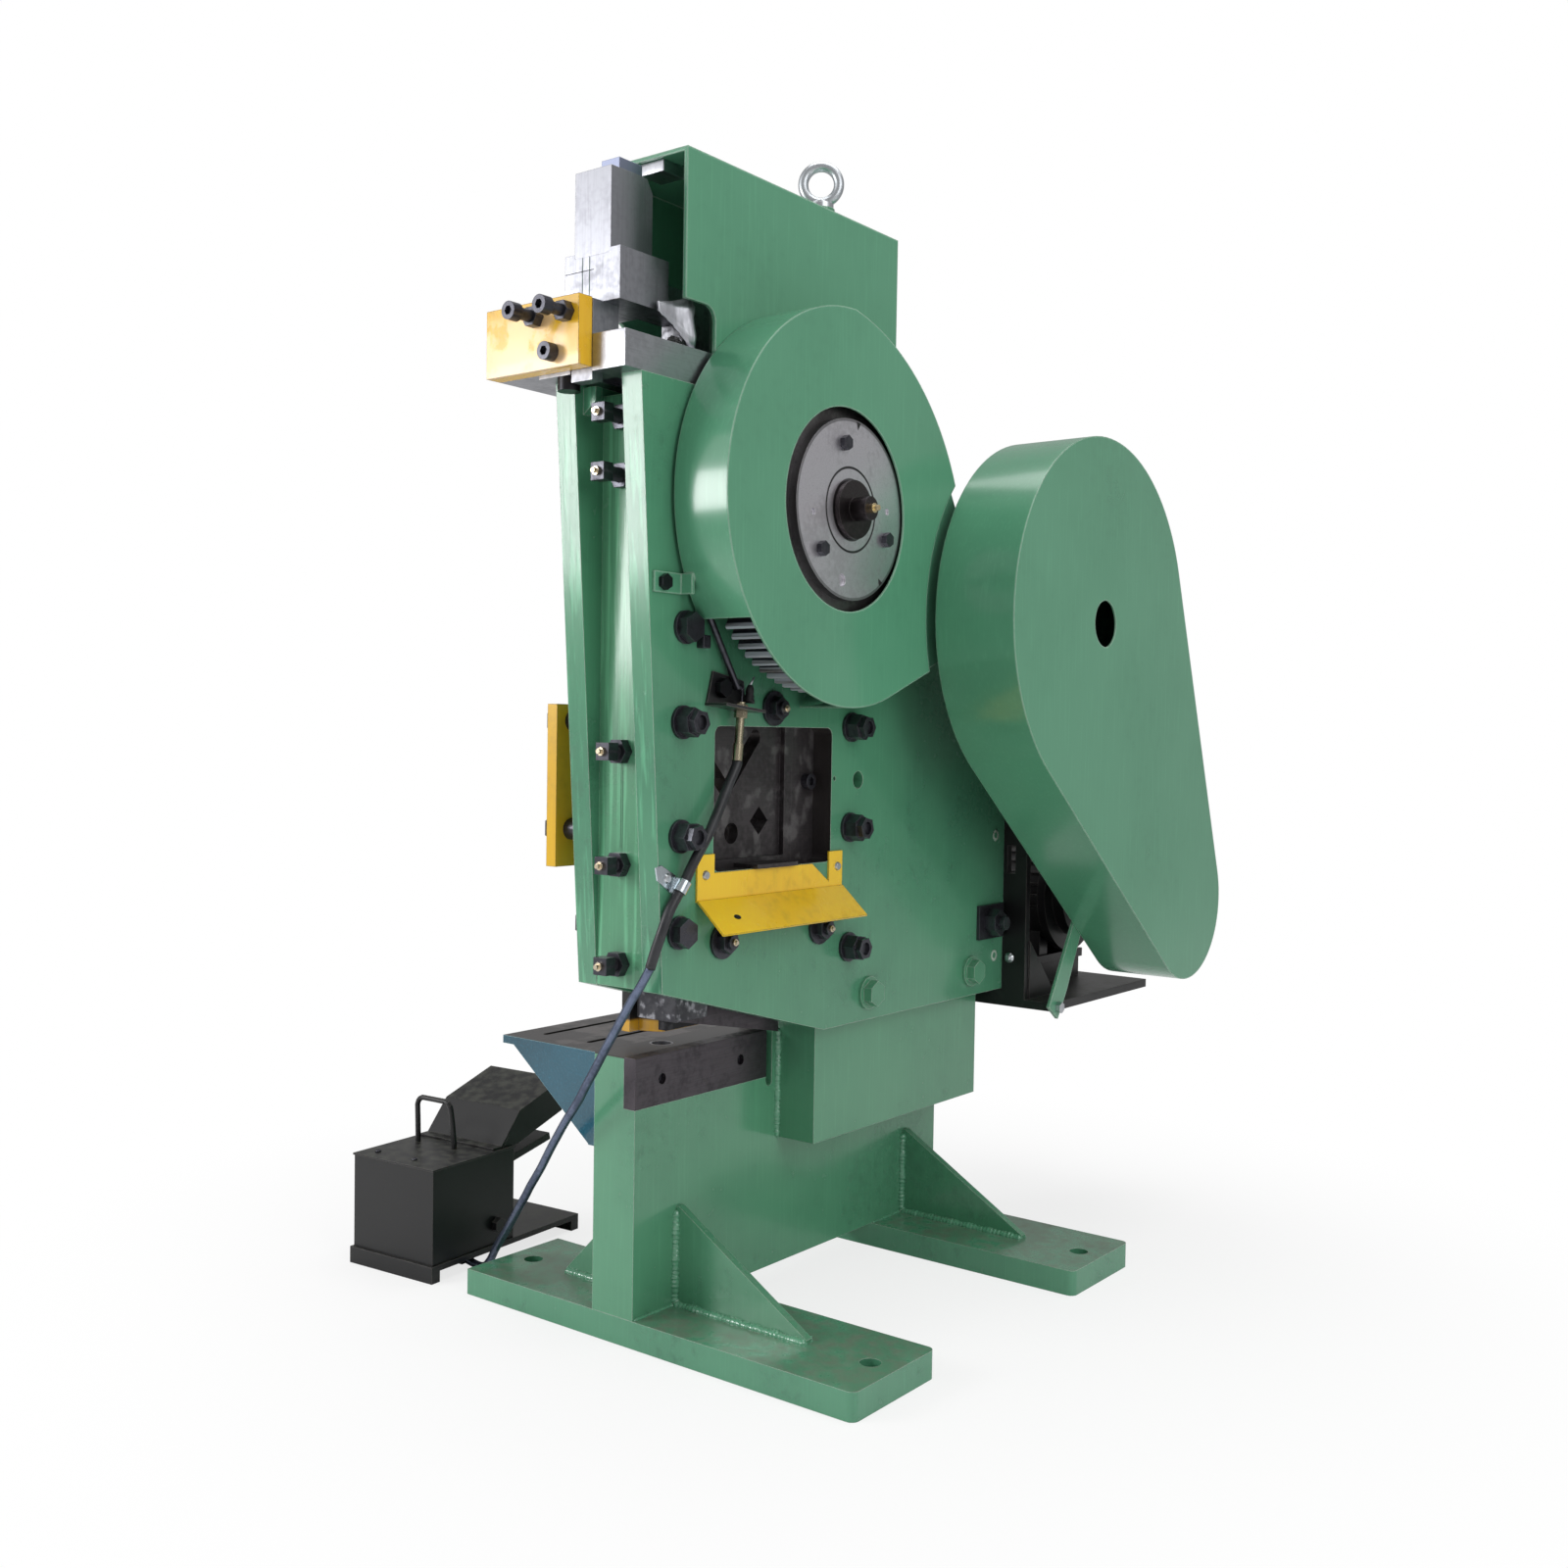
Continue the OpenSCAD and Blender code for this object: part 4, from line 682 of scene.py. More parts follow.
class Finish(Enum):
    """Every finish on the machine."""

    GREEN = Enamel("green_paint", rgb(86, 148, 114), rgb(72, 130, 101), rgb(186, 204, 188))
    GREEN_COLUMN = Enamel(
        "green_paint_of_the_column", rgb(88, 150, 116), rgb(74, 132, 102), rgb(186, 204, 188),
        layers=(Stain(Box(z=(416, FAR)), rgb(52, 46, 45), 0.42, metal=0.4),),
    )
    # The paint over the welds is a lighter, glossier copy of the green paint: a painted highlight on the beads.
    GREEN_WELD = Enamel(
        "green_paint_over_welds", rgb(96, 160, 126), rgb(80, 144, 112), rgb(196, 214, 198), rough=0.07,
        chips=0.0, gloss=1.0,
    )
    GREEN_FOOT = Enamel(
        "green_paint_of_the_feet", rgb(86, 148, 116), rgb(72, 130, 102), rgb(186, 200, 186), grime=0.5,
        layers=(
            Stain(Box(z=(38, 42)), rgb(92, 100, 84), 0.4, cover=0.34, patchy=0.5, scale=9.0, top_only=True),
        ),
    )
    GREEN_COVER = Enamel(
        "green_paint_of_the_covers", rgb(88, 150, 118), rgb(80, 142, 110), rgb(170, 205, 182), rough=0.2,
        chips=0.2, grime=0.1, stroke=5e-6, ease=4.5,
    )
    GREEN_BAR = Enamel(
        "green_paint_of_the_front_bar", rgb(94, 156, 120), rgb(80, 140, 106), rgb(196, 214, 198),
        stroke=50e-6, front_stroke=520e-6, layers=(Crack((7.0, 10.5), 724, 838),),
    )
    GREEN_PLATE = Enamel(
        "green_paint_of_the_plates", rgb(84, 146, 113), rgb(70, 128, 100), rgb(200, 214, 200), chips=0.66,
        stroke=30e-6, front_stroke=620e-6,
        layers=(
            Stain(Box((-FAR, 87.4), *WINDOW, soft=0.5), rgb(62, 58, 58), 0.42, metal=0.6),
            Stain(Box((-90, -12.4), *WINDOW, soft=0.5), rgb(62, 58, 58), 0.42, metal=0.6),
        ),
    )
    TEAL = Enamel(
        "blue_green_paint", rgb(26, 88, 108), rgb(14, 54, 70), rgb(150, 190, 196), rough=0.3, stroke=420e-6,
        lay=Lay.NONE, streak=0.5,
        layers=(
            Stain(Box(y=(-399.6, FAR), z=(398, FAR), soft=0.4), rgb(44, 38, 38), 0.42, metal=0.4),
            Stain(
                Box(z=(417, FAR)), rgb(92, 82, 80), 0.32, metal=0.7, cover=0.75, patchy=0.52, scale=18.0,
                top_only=True,
            ),
        ),
    )
    YELLOW = Enamel(
        "yellow_paint", rgb(232, 184, 40), rgb(216, 166, 34), rgb(70, 60, 44), rough=0.28, chips=0.35,
        stroke=16e-6,
    )
    YELLOW_CHUTE = Enamel(
        "yellow_paint_of_the_chute", rgb(248, 206, 42), rgb(236, 186, 38), rgb(92, 78, 50), rough=0.26,
        # The dark spot is painted shade where the chute has a hole.
        chips=0.5, stroke=10e-6, layers=(HoleShade(-345.4, 628.8, 7.0, 3.0, rgb(16, 14, 12)),),
    )
    YELLOW_WORN = Enamel(
        "yellow_paint_worn_to_the_metal", rgb(240, 190, 40), rgb(228, 172, 34), rgb(90, 74, 50), chips=0.4,
        layers=(
            Stain(
                Box(x=(-FAR, 6), y=(-FAR, -577.4), z=(-FAR, 1436), soft=9.0), rgb(232, 204, 180), 0.38,
                metal=0.25, cover=0.95, patchy=0.42, scale=22.0,
            ),
            Stain(
                Box(y=(-FAR, -577.4), z=(-FAR, 1376), soft=6.0), rgb(214, 190, 168), 0.4, metal=0.3,
                cover=0.9, patchy=0.4, scale=30.0,
            ),
        ),
    )
    BLACK_PAINT = Enamel(
        "black_paint", rgb(17, 17, 19), rgb(11, 11, 12), rgb(96, 92, 90), rough=0.38, chips=0.48, grime=0.2,
        stroke=14e-6, gloss=0.0,
    )
    BLACK_BRACKET = Enamel(
        "black_paint_and_the_plated_clip", rgb(30, 30, 32), rgb(20, 20, 22), rgb(120, 116, 112), rough=0.34,
        chips=0.6, layers=(Stain(Box(z=(600, 800)), rgb(196, 206, 212), 0.24, metal=1.0),),
    )
    BLACK_OXIDE = Steel("black_oxide", rgb(80, 80, 87), rgb(38, 38, 43), metal=0.85, grain=380.0)
    GIB_SCREW = Steel(
        "black_oxide_of_the_gib_screws", rgb(80, 80, 87), rgb(36, 36, 40), metal=0.85,
        layers=(Threads(9.0, (1311, 1232, 857, 702, 565), 12.0),),
    )
    BRIGHT = Steel(
        "ground_steel", rgb(180, 181, 187), rgb(118, 117, 123), lay=Lay.ALONG_Y, scratch=16e-6, stains=0.34,
    )
    BRIGHT_UPRIGHT = Steel(
        "ground_steel_of_the_head", rgb(182, 183, 189), rgb(120, 121, 128), lay=Lay.ALONG_Z, scratch=16e-6,
        stains=0.3, grain=260.0, rough=0.34,
    )
    HEAD_BLOCK = Steel(
        "ground_steel_and_the_bluish_cap", rgb(168, 169, 176), rgb(110, 110, 118), lay=Lay.ALONG_Z,
        scratch=16e-6, stains=0.26, grain=260.0, rough=0.34,
        layers=(Stain(Box(z=(1626.6, FAR), soft=0.3), rgb(150, 158, 186), 0.32, metal=1.0, cover=0.8),),
    )
    HEAD = Steel(
        "ground_steel_of_the_ram_head", rgb(166, 167, 174), rgb(104, 104, 110), lay=Lay.ALONG_Z,
        scratch=16e-6, stains=0.4, grain=260.0, rough=0.36,
        layers=(Crack((-9.0, 4.0), 1448, 1530, 0.8), Seam(1495.0, (-42, 12), -534.0)),
    )
    RAM = Steel(
        "ground_steel_of_the_ram", rgb(160, 160, 166), rgb(84, 82, 88), lay=Lay.ALONG_Z, scratch=20e-6,
        stains=0.8, grain=220.0, rough=0.36,
        layers=(
            Stain(
                Box(z=(380, 560), soft=8.0), rgb(58, 58, 62), 0.35, metal=0.9, cover=0.85, patchy=0.42,
                scale=60.0,
            ),
            Stain(Box(x=(-FAR, -16), z=(380, 560), soft=2.0), rgb(30, 30, 32), 0.3, metal=0.8, cover=0.9),
        ),
    )
    STRIPPER = Enamel(
        "yellow_paint_of_the_stripper", rgb(222, 166, 36), rgb(196, 140, 30), rgb(70, 60, 44), chips=0.4,
        layers=(Stain(Box(z=(462, FAR), soft=3.0), rgb(36, 35, 36), 0.4, metal=0.6),),
    )
    FITTING = Steel("plated_fitting", rgb(176, 166, 142), rgb(98, 84, 64), rough=0.26)
    SCREWS = Steel(
        "zinc_plate_and_black_screws", rgb(206, 210, 214), rgb(160, 166, 172), rough=0.3, stains=0.35,
        grain=900.0,
        layers=(
            Stain(Box(y=(-FAR, -300), z=(920, FAR)), rgb(42, 42, 46), 0.34, metal=0.8),
            Stain(Box(y=(100, 160), z=(980, FAR)), rgb(42, 42, 46), 0.34, metal=0.8),
        ),
    )
    DARK = Steel(
        "dark_tool_steel", rgb(84, 80, 82), rgb(48, 45, 47), rough=0.4, metal=0.8, lay=Lay.ALONG_Y,
        layers=(
            Stain(
                Box(x=(20, 110), y=(-400, -60), z=(680, 930)), rgb(150, 148, 148), 0.5, metal=0.2, cover=0.3,
                patchy=0.6, scale=26.0,
            ),
        ),
    )
    BLADE = Steel("blade_steel", rgb(86, 81, 86), rgb(56, 52, 57), rough=0.38, metal=0.85, lay=Lay.ALONG_Y)
    ZINC = Steel("zinc_plate", rgb(206, 210, 214), rgb(160, 166, 172), rough=0.3, stains=0.35, grain=900.0)
    BRASS = Steel("brass", rgb(206, 186, 142), rgb(120, 96, 62), rough=0.28, stains=0.4)
    BRASS_ENDS = Steel("nipple_brass", rgb(226, 212, 186), rgb(160, 132, 96), rough=0.24, stains=0.3)
    GEAR = Steel(
        "greasy_gear_steel", rgb(110, 108, 108), rgb(52, 50, 50), rough=0.36,
        layers=(Greasy(*CRANK, 260, 257),),
    )
    WHEEL = Steel(
        "machined_iron", rgb(104, 102, 102), rgb(58, 56, 56), rough=0.4, layers=(Turned(*WHEEL_AXIS),),
    )
    DISC = Steel(
        "turned_clutch_disc", rgb(222, 220, 226), rgb(150, 146, 150), rough=0.34, stains=0.35,
        layers=(
            Turned(
                *CRANK, 26e-6,
                (
                    # The ring at 58.5 to 62 mm is the groove, painted near black as painted shade in it; 126 to
                    # 140 mm is a darker band near the rim, 0 to 45 mm the dark hub.
                    (126, 140, rgb(74, 72, 74), 0.6), (58.5, 62, rgb(26, 25, 26), 0.9),
                    (0, 45, rgb(58, 54, 56), 0.85),
                ),
            ),
        ),
    )
    SHAFT = Steel(
        "shaft_steel", rgb(74, 69, 70), rgb(36, 33, 34), rough=0.3,
        layers=(
            Turned(*CRANK, 20e-6),
            Stain(Box(x=(218.5, FAR), soft=0.2), rgb(222, 204, 160), 0.24, metal=1.0),
        ),
    )
    BELT = Rubber("belt_rubber", rgb(28, 28, 30), 0.55)
    SLEEVE = Rubber("sleeve_plastic", rgb(32, 33, 37), 0.42)
    BOOT = Rubber("rubber_boot", rgb(26, 26, 28), 0.5, 200e-6)
    CONDUIT = Steel("wound_conduit", rgb(112, 122, 146), rgb(58, 64, 80), rough=0.3, metal=0.9, grain=700.0)
    GREASE = Steel(
        "black_grease", rgb(18, 17, 18), rgb(8, 8, 9), rough=0.12, metal=0.0, scratch=200e-6, bright_edge=0.1,
    )
    MARK = Rubber("black_mark", rgb(18, 18, 18), 0.6)


def mesh_of(bm: Shape, name: str) -> bpy.types.Mesh:
    """A mesh made from a bmesh, which is used up.

    Args:
        bm: The shape, freed afterwards.
        name: The mesh's name.

    Returns:
        The mesh.
    """
    mesh = bpy.data.meshes.new(name)
    bm.to_mesh(mesh)
    bm.free()
    return mesh


def placed(name: str, data: bpy.types.ID) -> bpy.types.Object:
    """A new object in the scene.

    Args:
        name: The object's name.
        data: Its mesh, lamp or camera.

    Returns:
        The object.
    """
    made = bpy.data.objects.new(name, data)
    bpy.context.scene.collection.objects.link(made)
    return made


class Paintshop:
    """Makes each finish once and puts it on the pieces."""

    def __init__(self) -> None:
        """Start with no finish made."""
        self.made: dict[Finish, bpy.types.Material] = {}

    def dress(self, piece: bpy.types.Object, finish: Finish) -> None:
        """Give a piece its finish, made the first time that it is asked for.

        Args:
            piece: The object to dress.
            finish: The finish that it gets.
        """
        if finish not in self.made:
            self.made[finish] = finish.value.make()
        piece.data.materials.clear()
        piece.data.materials.append(self.made[finish])


@dataclass
class Shop:
    """What every sub-assembly needs while it is built."""

    nodes: dict[str, bpy.types.Object]
    paint: Paintshop

    def dress(self, finish: Finish, *names: str) -> None:
        """Give the named frame nodes a finish.

        Args:
            finish: The finish that they get.
            names: The nodes.
        """
        for name in names:
            self.paint.dress(self.nodes[name], finish)
            log.info("dressed %s in %s", name, finish.name.lower())

    def add(
        self, bm: Shape, name: str, finish: Finish, slot: str, body: str = FRAME_BODY, smooth: bool = True
    ) -> bpy.types.Object:
        """Turn a bmesh into a piece of the machine.

        Args:
            bm: The shape, in metres.
            name: The piece's name.
            finish: Its finish.
            slot: The record's material slot; not used.
            body: The body that it moves with.
            smooth: Whether its faces are shaded round.

        Returns:
            The piece.
        """
        bmesh.ops.recalc_face_normals(bm, faces=bm.faces)
        for face in bm.faces:
            face.smooth = smooth
        piece = placed(name, mesh_of(bm, name))
        self.paint.dress(piece, finish)
        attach(piece, body)
        log.info("made %s with %d faces", name, len(piece.data.polygons))
        return piece


def metres(points: Sequence[Point]) -> list[Vector]:
    """Points in millimetres as vectors in metres."""
    return [Vector(p) * MM for p in points]


def moved(bm: Shape, matrix: Matrix) -> Shape:
    """The same shape, moved by a matrix."""
    bmesh.ops.transform(bm, matrix=matrix, verts=bm.verts)
    return bm


def verts_of(grown: Sequence[Any]) -> list[bmesh.types.BMVert]:
    """The corners among what an extrusion made."""
    return [g for g in grown if isinstance(g, bmesh.types.BMVert)]


def curve_through(points: Sequence[Vector], step: float) -> list[Vector]:
    """A smooth line through points, at even steps.

    Args:
        points: The points, in metres.
        step: The distance between two places on the line.

    Returns:
        The places on the line.
    """
    dense: list[Vector] = []
    padded = [points[0] * 2 - points[1], *points, points[-1] * 2 - points[-2]]
    for a, b, c, d in zip(padded, padded[1:], padded[2:], padded[3:]):
        for k in range(24):
            t = k / 24
            dense.append(
                (b * 2 + (c - a) * t + (a * 2 - b * 5 + c * 4 - d) * t * t + (b * 3 - a - c * 3 + d) * t**3) / 2
            )
    dense.append(points[-1].copy())
    length = sum((q - p).length for p, q in zip(dense, dense[1:]))
    count = max(2, round(length / step))
    places, at, walked = [dense[0].copy()], 0, 0.0
    for k in range(1, count):
        wanted = length * k / count
        while at < len(dense) - 2 and walked + (dense[at + 1] - dense[at]).length < wanted:
            walked += (dense[at + 1] - dense[at]).length
            at += 1
        span = (dense[at + 1] - dense[at]).length
        places.append(dense[at].lerp(dense[at + 1], (wanted - walked) / span if span else 0.0))
    places.append(dense[-1].copy())
    return places


def swept(path: Sequence[Vector], radii: Sequence[float], sides: int) -> Shape:
    """A tube along a line, with its own radius at every place.

    Args:
        path: The middle line, in metres.
        radii: The radius at each place.
        sides: How many faces go round.

    Returns:
        The closed tube.
    """
    bm = bmesh.new()
    ahead = (path[1] - path[0]).normalized()
    turn = Vector((0, 0, 1)).rotation_difference(ahead)
    frame = Matrix.Translation(path[0]) @ turn.to_matrix().to_4x4() @ Matrix.Scale(radii[0], 4)
    ring = bmesh.ops.create_circle(bm, radius=1.0, segments=sides, cap_ends=False)["verts"]
    bmesh.ops.transform(bm, matrix=frame, verts=ring)
    edges = list(bm.edges)
    first = list(edges)
    for k in range(1, len(path)):
        nxt = (path[min(k + 1, len(path) - 1)] - path[k - 1]).normalized()
        turn = ahead.rotation_difference(nxt) @ turn
        ahead = nxt
        new = Matrix.Translation(path[k]) @ turn.to_matrix().to_4x4() @ Matrix.Scale(radii[k], 4)
        grown = bmesh.ops.extrude_edge_only(bm, edges=edges)["geom"]
        verts = verts_of(grown)
        kept = set(verts)
        edges = [g for g in grown if isinstance(g, bmesh.types.BMEdge) and set(g.verts) <= kept]
        bmesh.ops.transform(bm, matrix=new @ frame.inverted(), verts=verts)
        frame = new
    bmesh.ops.edgeloop_fill(bm, edges=first)
    bmesh.ops.edgeloop_fill(bm, edges=edges)
    return bm


def joined(shapes: Sequence[Shape]) -> Shape:
    """Several shapes as one.

    Args:
        shapes: The shapes, freed afterwards.

    Returns:
        The one shape.
    """
    whole = bmesh.new()
    for shape in shapes:
        mesh = mesh_of(shape, "part")
        whole.from_mesh(mesh)
        bpy.data.meshes.remove(mesh)
    return whole


def turned_shape(
    profile: Sequence[tuple[float, float]], base: Point, axis: Vector, steps: int = 28
) -> Shape:
    """A shape turned from its profile.

    Args:
        profile: Radius and height of each corner, in millimetres, from axis to axis.
        base: Where the axis starts, in millimetres.
        axis: The way that it points.
        steps: How many faces go round.

    Returns:
        The closed shape.
    """
    bm = bmesh.new()
    verts = [bm.verts.new((r * MM, 0, h * MM)) for r, h in profile]
    edges = [bm.edges.new(pair) for pair in zip(verts, verts[1:])]
    around = {"cent": (0, 0, 0), "axis": (0, 0, 1), "angle": 2 * math.pi}
    bmesh.ops.spin(bm, geom=[*verts, *edges], steps=steps, use_merge=True, **around)
    bmesh.ops.remove_doubles(bm, verts=bm.verts, dist=1e-6)
    turn = Vector((0, 0, 1)).rotation_difference(axis)
    return moved(bm, Matrix.Translation(Vector(base) * MM) @ turn.to_matrix().to_4x4())


def eased_block(low: Point, high: Point, ease: float) -> Shape:
    """A block with eased edges.

    Args:
        low: Its lowest corner, in millimetres.
        high: Its highest corner.
        ease: The radius of the edges.

    Returns:
        The block.
    """
    bm = bmesh.new()
    bmesh.ops.create_cube(bm, size=1.0)
    size = (Vector(high) - Vector(low)) * MM
    middle = (Vector(high) + Vector(low)) * MM / 2
    moved(bm, Matrix.Translation(middle) @ Matrix.Diagonal((*size, 1.0)))
    shape = {"offset_type": "OFFSET", "affect": "EDGES", "segments": 3, "profile": 0.5, "material": -1}
    bmesh.ops.bevel(bm, geom=list(bm.edges), offset=ease * MM, **shape)
    return bm


def weld_bead(start: Point, end: Point, radius: float, seed: int) -> Shape:
    """A rippled weld bead between two places.

    Args:
        start: Where it starts, in millimetres.
        end: Where it ends.
        radius: Its radius.
        seed: Picks its own ripple.

    Returns:
        The bead.
    """
    chance = random.Random(seed)
    a, b = metres([start, end])
    count = max(4, round((b - a).length / (2.2 * MM)))
    path, radii = [], []
    for k in range(count + 1):
        t = k / count
        sway = Vector([chance.uniform(-0.3, 0.3) * MM for _ in range(3)])
        path.append(a.lerp(b, t) + sway)
        swell = 1 + 0.13 * math.sin(k * 2.1) + 0.1 * math.sin(k * 0.37 + seed) + chance.uniform(-0.08, 0.08)
        close_in = min(1.0, 0.45 + min(k, count - k) * 0.3)
        radii.append(radius * MM * swell * close_in)
    return swept(path, radii, 10)


@dataclass
class Base:
    """Feet, gussets, column and carrier, with the welds between them."""

    foot_top: float = 40.0
    gusset_y: tuple[float, ...] = (-302.0, 302.0)
    half: float = 6.5
    column: tuple[float, float] = (-100.0, -20.0)
    reach: tuple[float, float] = (-245.0, 223.0)
    rise: float = 147.0
    carrier: tuple[float, float, float, float] = (-20.0, -69.0, 244.0, 418.0)
    carrier_back: float = 398.0
    feet: tuple[tuple[float, float], ...] = ((-400.0, -204.0), (204.0, 400.0))
    gusset_bead: float = 7.5
    foot_bead: float = 2.8
    carrier_beads: tuple[float, float] = (6.5, 4.0)
    gusset_margin: float = 6.0
    foot_margin: float = 2.0

    def beads(self) -> list[Shape]:
        """Every bead at the foot of the machine.

        Returns:
            The beads.
        """
        made, seed = [], 1
        z0, z1 = self.foot_top, self.foot_top + self.rise - self.gusset_margin
        for y in self.gusset_y:
            for side in (-1, 1):
                edge = y + side * self.half
                for face, tip in ((self.column[1], self.reach[1]), (self.column[0], self.reach[0])):
                    corner = (face, edge, z0)
                    made.append(weld_bead(corner, (tip, edge, z0), self.gusset_bead, seed))
                    made.append(weld_bead(corner, (face, edge, z1), self.gusset_bead, seed + 1))
                    seed += 2
        for low, high in self.feet:
            for face in self.column:
                start = (face, low + self.foot_margin, z0)
                end = (face, high - self.foot_margin, z0)
                made.append(weld_bead(start, end, self.foot_bead, seed))
                seed += 1
        x, y, low, high = self.carrier
        upright, level = self.carrier_beads
        made.append(weld_bead((x, y, low), (x, y, high), upright, seed))
        made.append(weld_bead((x, y, low), (x, self.carrier_back, low), level, seed + 1))
        return made

    def build(self, shop: Shop) -> None:
        """Dress the base and weld it.

        Args:
            shop: Where pieces are made.
        """
        shop.dress(Finish.GREEN_FOOT, "feet")
        shop.dress(Finish.GREEN, "foot_gussets", "carrier_block", "carrier_bolts")
        shop.dress(Finish.GREEN_COLUMN, "base_column")
        shop.add(joined(self.beads()), "foot_weld_beads", Finish.GREEN_WELD, "green_enamel")


@dataclass
class MachineFrame:
    """Side plates, guide bars, studs, screws and their nuts."""

    plugs: tuple[tuple[float, float], ...] = ((416.0, 709.0), (418.0, 494.0))
    plug_r: float = 11.0
    face: float = 88.0

    def build(self, shop: Shop) -> None:
        """Dress the frame and set the plugs in the right plate.

        Args:
            shop: Where pieces are made.
        """
        shop.dress(Finish.GREEN_PLATE, "side_plate_right", "side_plate_left")
        shop.dress(Finish.GREEN_BAR, "front_guide_bar")
        shop.dress(Finish.GREEN, "rear_guide_bars")
        shop.dress(Finish.ZINC, "eye_bolt")
        shop.dress(Finish.BRIGHT, "gib_strip", "top_guide_bars")
        shop.dress(Finish.GIB_SCREW, "gib_screws")
        shop.dress(Finish.BLACK_OXIDE, "hex_nuts", "guide_studs", "guide_washers", "socket_screws")
        shop.dress(Finish.BRASS_ENDS, "grease_nipples")
        shop.dress(Finish.YELLOW_WORN, "adjuster_plate")
        r = self.plug_r
        profile = [(0, 0.25), (r - 2.2, 0.25), (r - 1.4, 0.7), (r - 0.4, 0.7), (r, 0.0), (0, -0.4)]
        plugs = [turned_shape(profile, (self.face, y, z), Vector((1, 0, 0)), 40) for y, z in self.plugs]
        shop.add(joined(plugs), "plate_plugs", Finish.GREEN_PLATE, "green_enamel")


@dataclass
class Covers:
    """Covers and guards, with what shows inside the upper cover."""

    leaf: tuple[tuple[float, float, float, float], ...] = (
        (68.0, -470.0, 1447.0, 1459.0),
        (70.0, -460.0, 1441.0, 1461.0),
        (72.0, -448.0, 1434.0, 1463.0),
        (74.0, -438.0, 1426.0, 1466.0),
        (77.0, -428.0, 1416.0, 1470.0),
        (80.0, -419.0, 1406.0, 1472.0),
        (82.0, -410.0, 1405.0, 1462.0),
    )
    leaf_t: float = 1.6
    lump_at: Point = (70.0, -438.0, 1408.0)
    cover_floor: float = 1404.2
    pad: tuple[Point, Point] = ((4.0, -438.0, 1644.0), (46.0, -396.0, 1660.8))

    def leaf_shape(self) -> Shape:
        """The bent bright leaf that keeps grease off the cover.

        Returns:
            The leaf.
        """
        bm = bmesh.new()
        low = [bm.verts.new(Vector((x, y, z0)) * MM) for x, y, z0, _ in self.leaf]
        edges = [bm.edges.new(pair) for pair in zip(low, low[1:])]
        grown = bmesh.ops.extrude_edge_only(bm, edges=edges)["geom"]
        tops = sorted(verts_of(grown), key=lambda v: v.co.y)
        for vert, (_, _, _, z1) in zip(tops, self.leaf):
            vert.co.z = z1 * MM
        bmesh.ops.subdivide_edges(bm, edges=bm.edges, cuts=2, use_grid_fill=True, smooth=0.4)
        bmesh.ops.recalc_face_normals(bm, faces=bm.faces)
        bmesh.ops.solidify(bm, geom=bm.faces, thickness=self.leaf_t * MM)
        return bm

    def lump_shape(self) -> Shape:
        """The lump of old grease at the leaf's foot.

        Returns:
            The lump.
        """
        bm = bmesh.new()
        bmesh.ops.create_icosphere(bm, subdivisions=5, radius=1.0)
        for vert in bm.verts:
            place = vert.co.copy()
            swell = 0.8 + 0.42 * noise.noise(place * 2.4) + 0.2 * noise.noise(place * 7.0)
            vert.co = Vector((place.x * 7.5, place.y * 17, max(place.z, -0.3) * 11)) * swell * MM
            vert.co += Vector(self.lump_at) * MM
            vert.co.z = max(vert.co.z, self.cover_floor * MM)
        return bm

    def build(self, shop: Shop) -> None:
        """Dress the covers and add what shows behind them.

        Args:
            shop: Where pieces are made.
        """
        shop.dress(Finish.GREEN_COVER, "top_cover", "gear_cover", "belt_guard", "guard_strap")
        shop.dress(Finish.SCREWS, "small_screws")
        shop.add(self.leaf_shape(), "splash_leaf", Finish.BRIGHT_UPRIGHT, "bright_steel")
        shop.add(self.lump_shape(), "grease_lump", Finish.GREASE, "black_oxide")
        shop.add(eased_block(*self.pad, 1.0), "cover_stop_pad", Finish.BRIGHT, "bright_steel")


@dataclass
class Drive:
    """Gears, shafts, flywheel, motor and belts."""

    marks: tuple[float, ...] = (83.0, -52.0)
    mark_r: float = 128.0
    disc_face: float = 182.0
    screw_at: Point = (103.7, 447.0, 488.5)

    def marks_shape(self) -> Shape:
        """Small black setting marks on the clutch disc's rim.

        Returns:
            The marks.
        """
        shapes = []
        for angle in self.marks:
            bm = bmesh.new()
            corners = [bm.verts.new(Vector((0, u, v)) * MM) for u, v in ((-5, 0), (5, 0), (0, -11))]
            face = bm.faces.new(corners)
            grown = bmesh.ops.extrude_face_region(bm, geom=[face])["geom"]
            bmesh.ops.translate(bm, vec=(0.3 * MM, 0, 0), verts=verts_of(grown))
            turn = math.radians(angle - 90)
            spot = Matrix.Translation(Vector((self.disc_face, *CRANK)) * MM)
            out = Matrix.Translation((0, 0, self.mark_r * MM))
            shapes.append(moved(bm, spot @ Matrix.Rotation(turn, 4, "X") @ out))
        return joined(shapes)

    def build(self, shop: Shop, disc_body: str) -> None:
        """Dress the drive and mark the disc.

        Args:
            shop: Where pieces are made.
            disc_body: The body that the disc turns with.
        """
        shop.dress(Finish.BRASS, "shaft_bushes")
        shop.dress(Finish.BLACK_PAINT, "motor_bracket", "motor_body")
        shop.dress(Finish.BELT, "v_belts")
        shop.dress(Finish.SHAFT, "eccentric_shaft")
        shop.dress(Finish.GEAR, "main_gear", "counter_gears")
        shop.dress(Finish.DISC, "clutch_disc")
        shop.dress(Finish.BLACK_OXIDE, "disc_bolts")
        shop.dress(Finish.WHEEL, "flywheel", "motor_pulley")
        shop.add(self.marks_shape(), "disc_setting_marks", Finish.MARK, "black_paint", disc_body, False)
        head = [(0, 7), (4.5, 7), (5.5, 5.6), (5.5, 2), (9, 2), (9, 0), (0, 0)]
        screw = turned_shape(head, self.screw_at, Vector((0, -1, 0)), 24)
        shop.add(screw, "bracket_plate_screw", Finish.ZINC, "zinc")


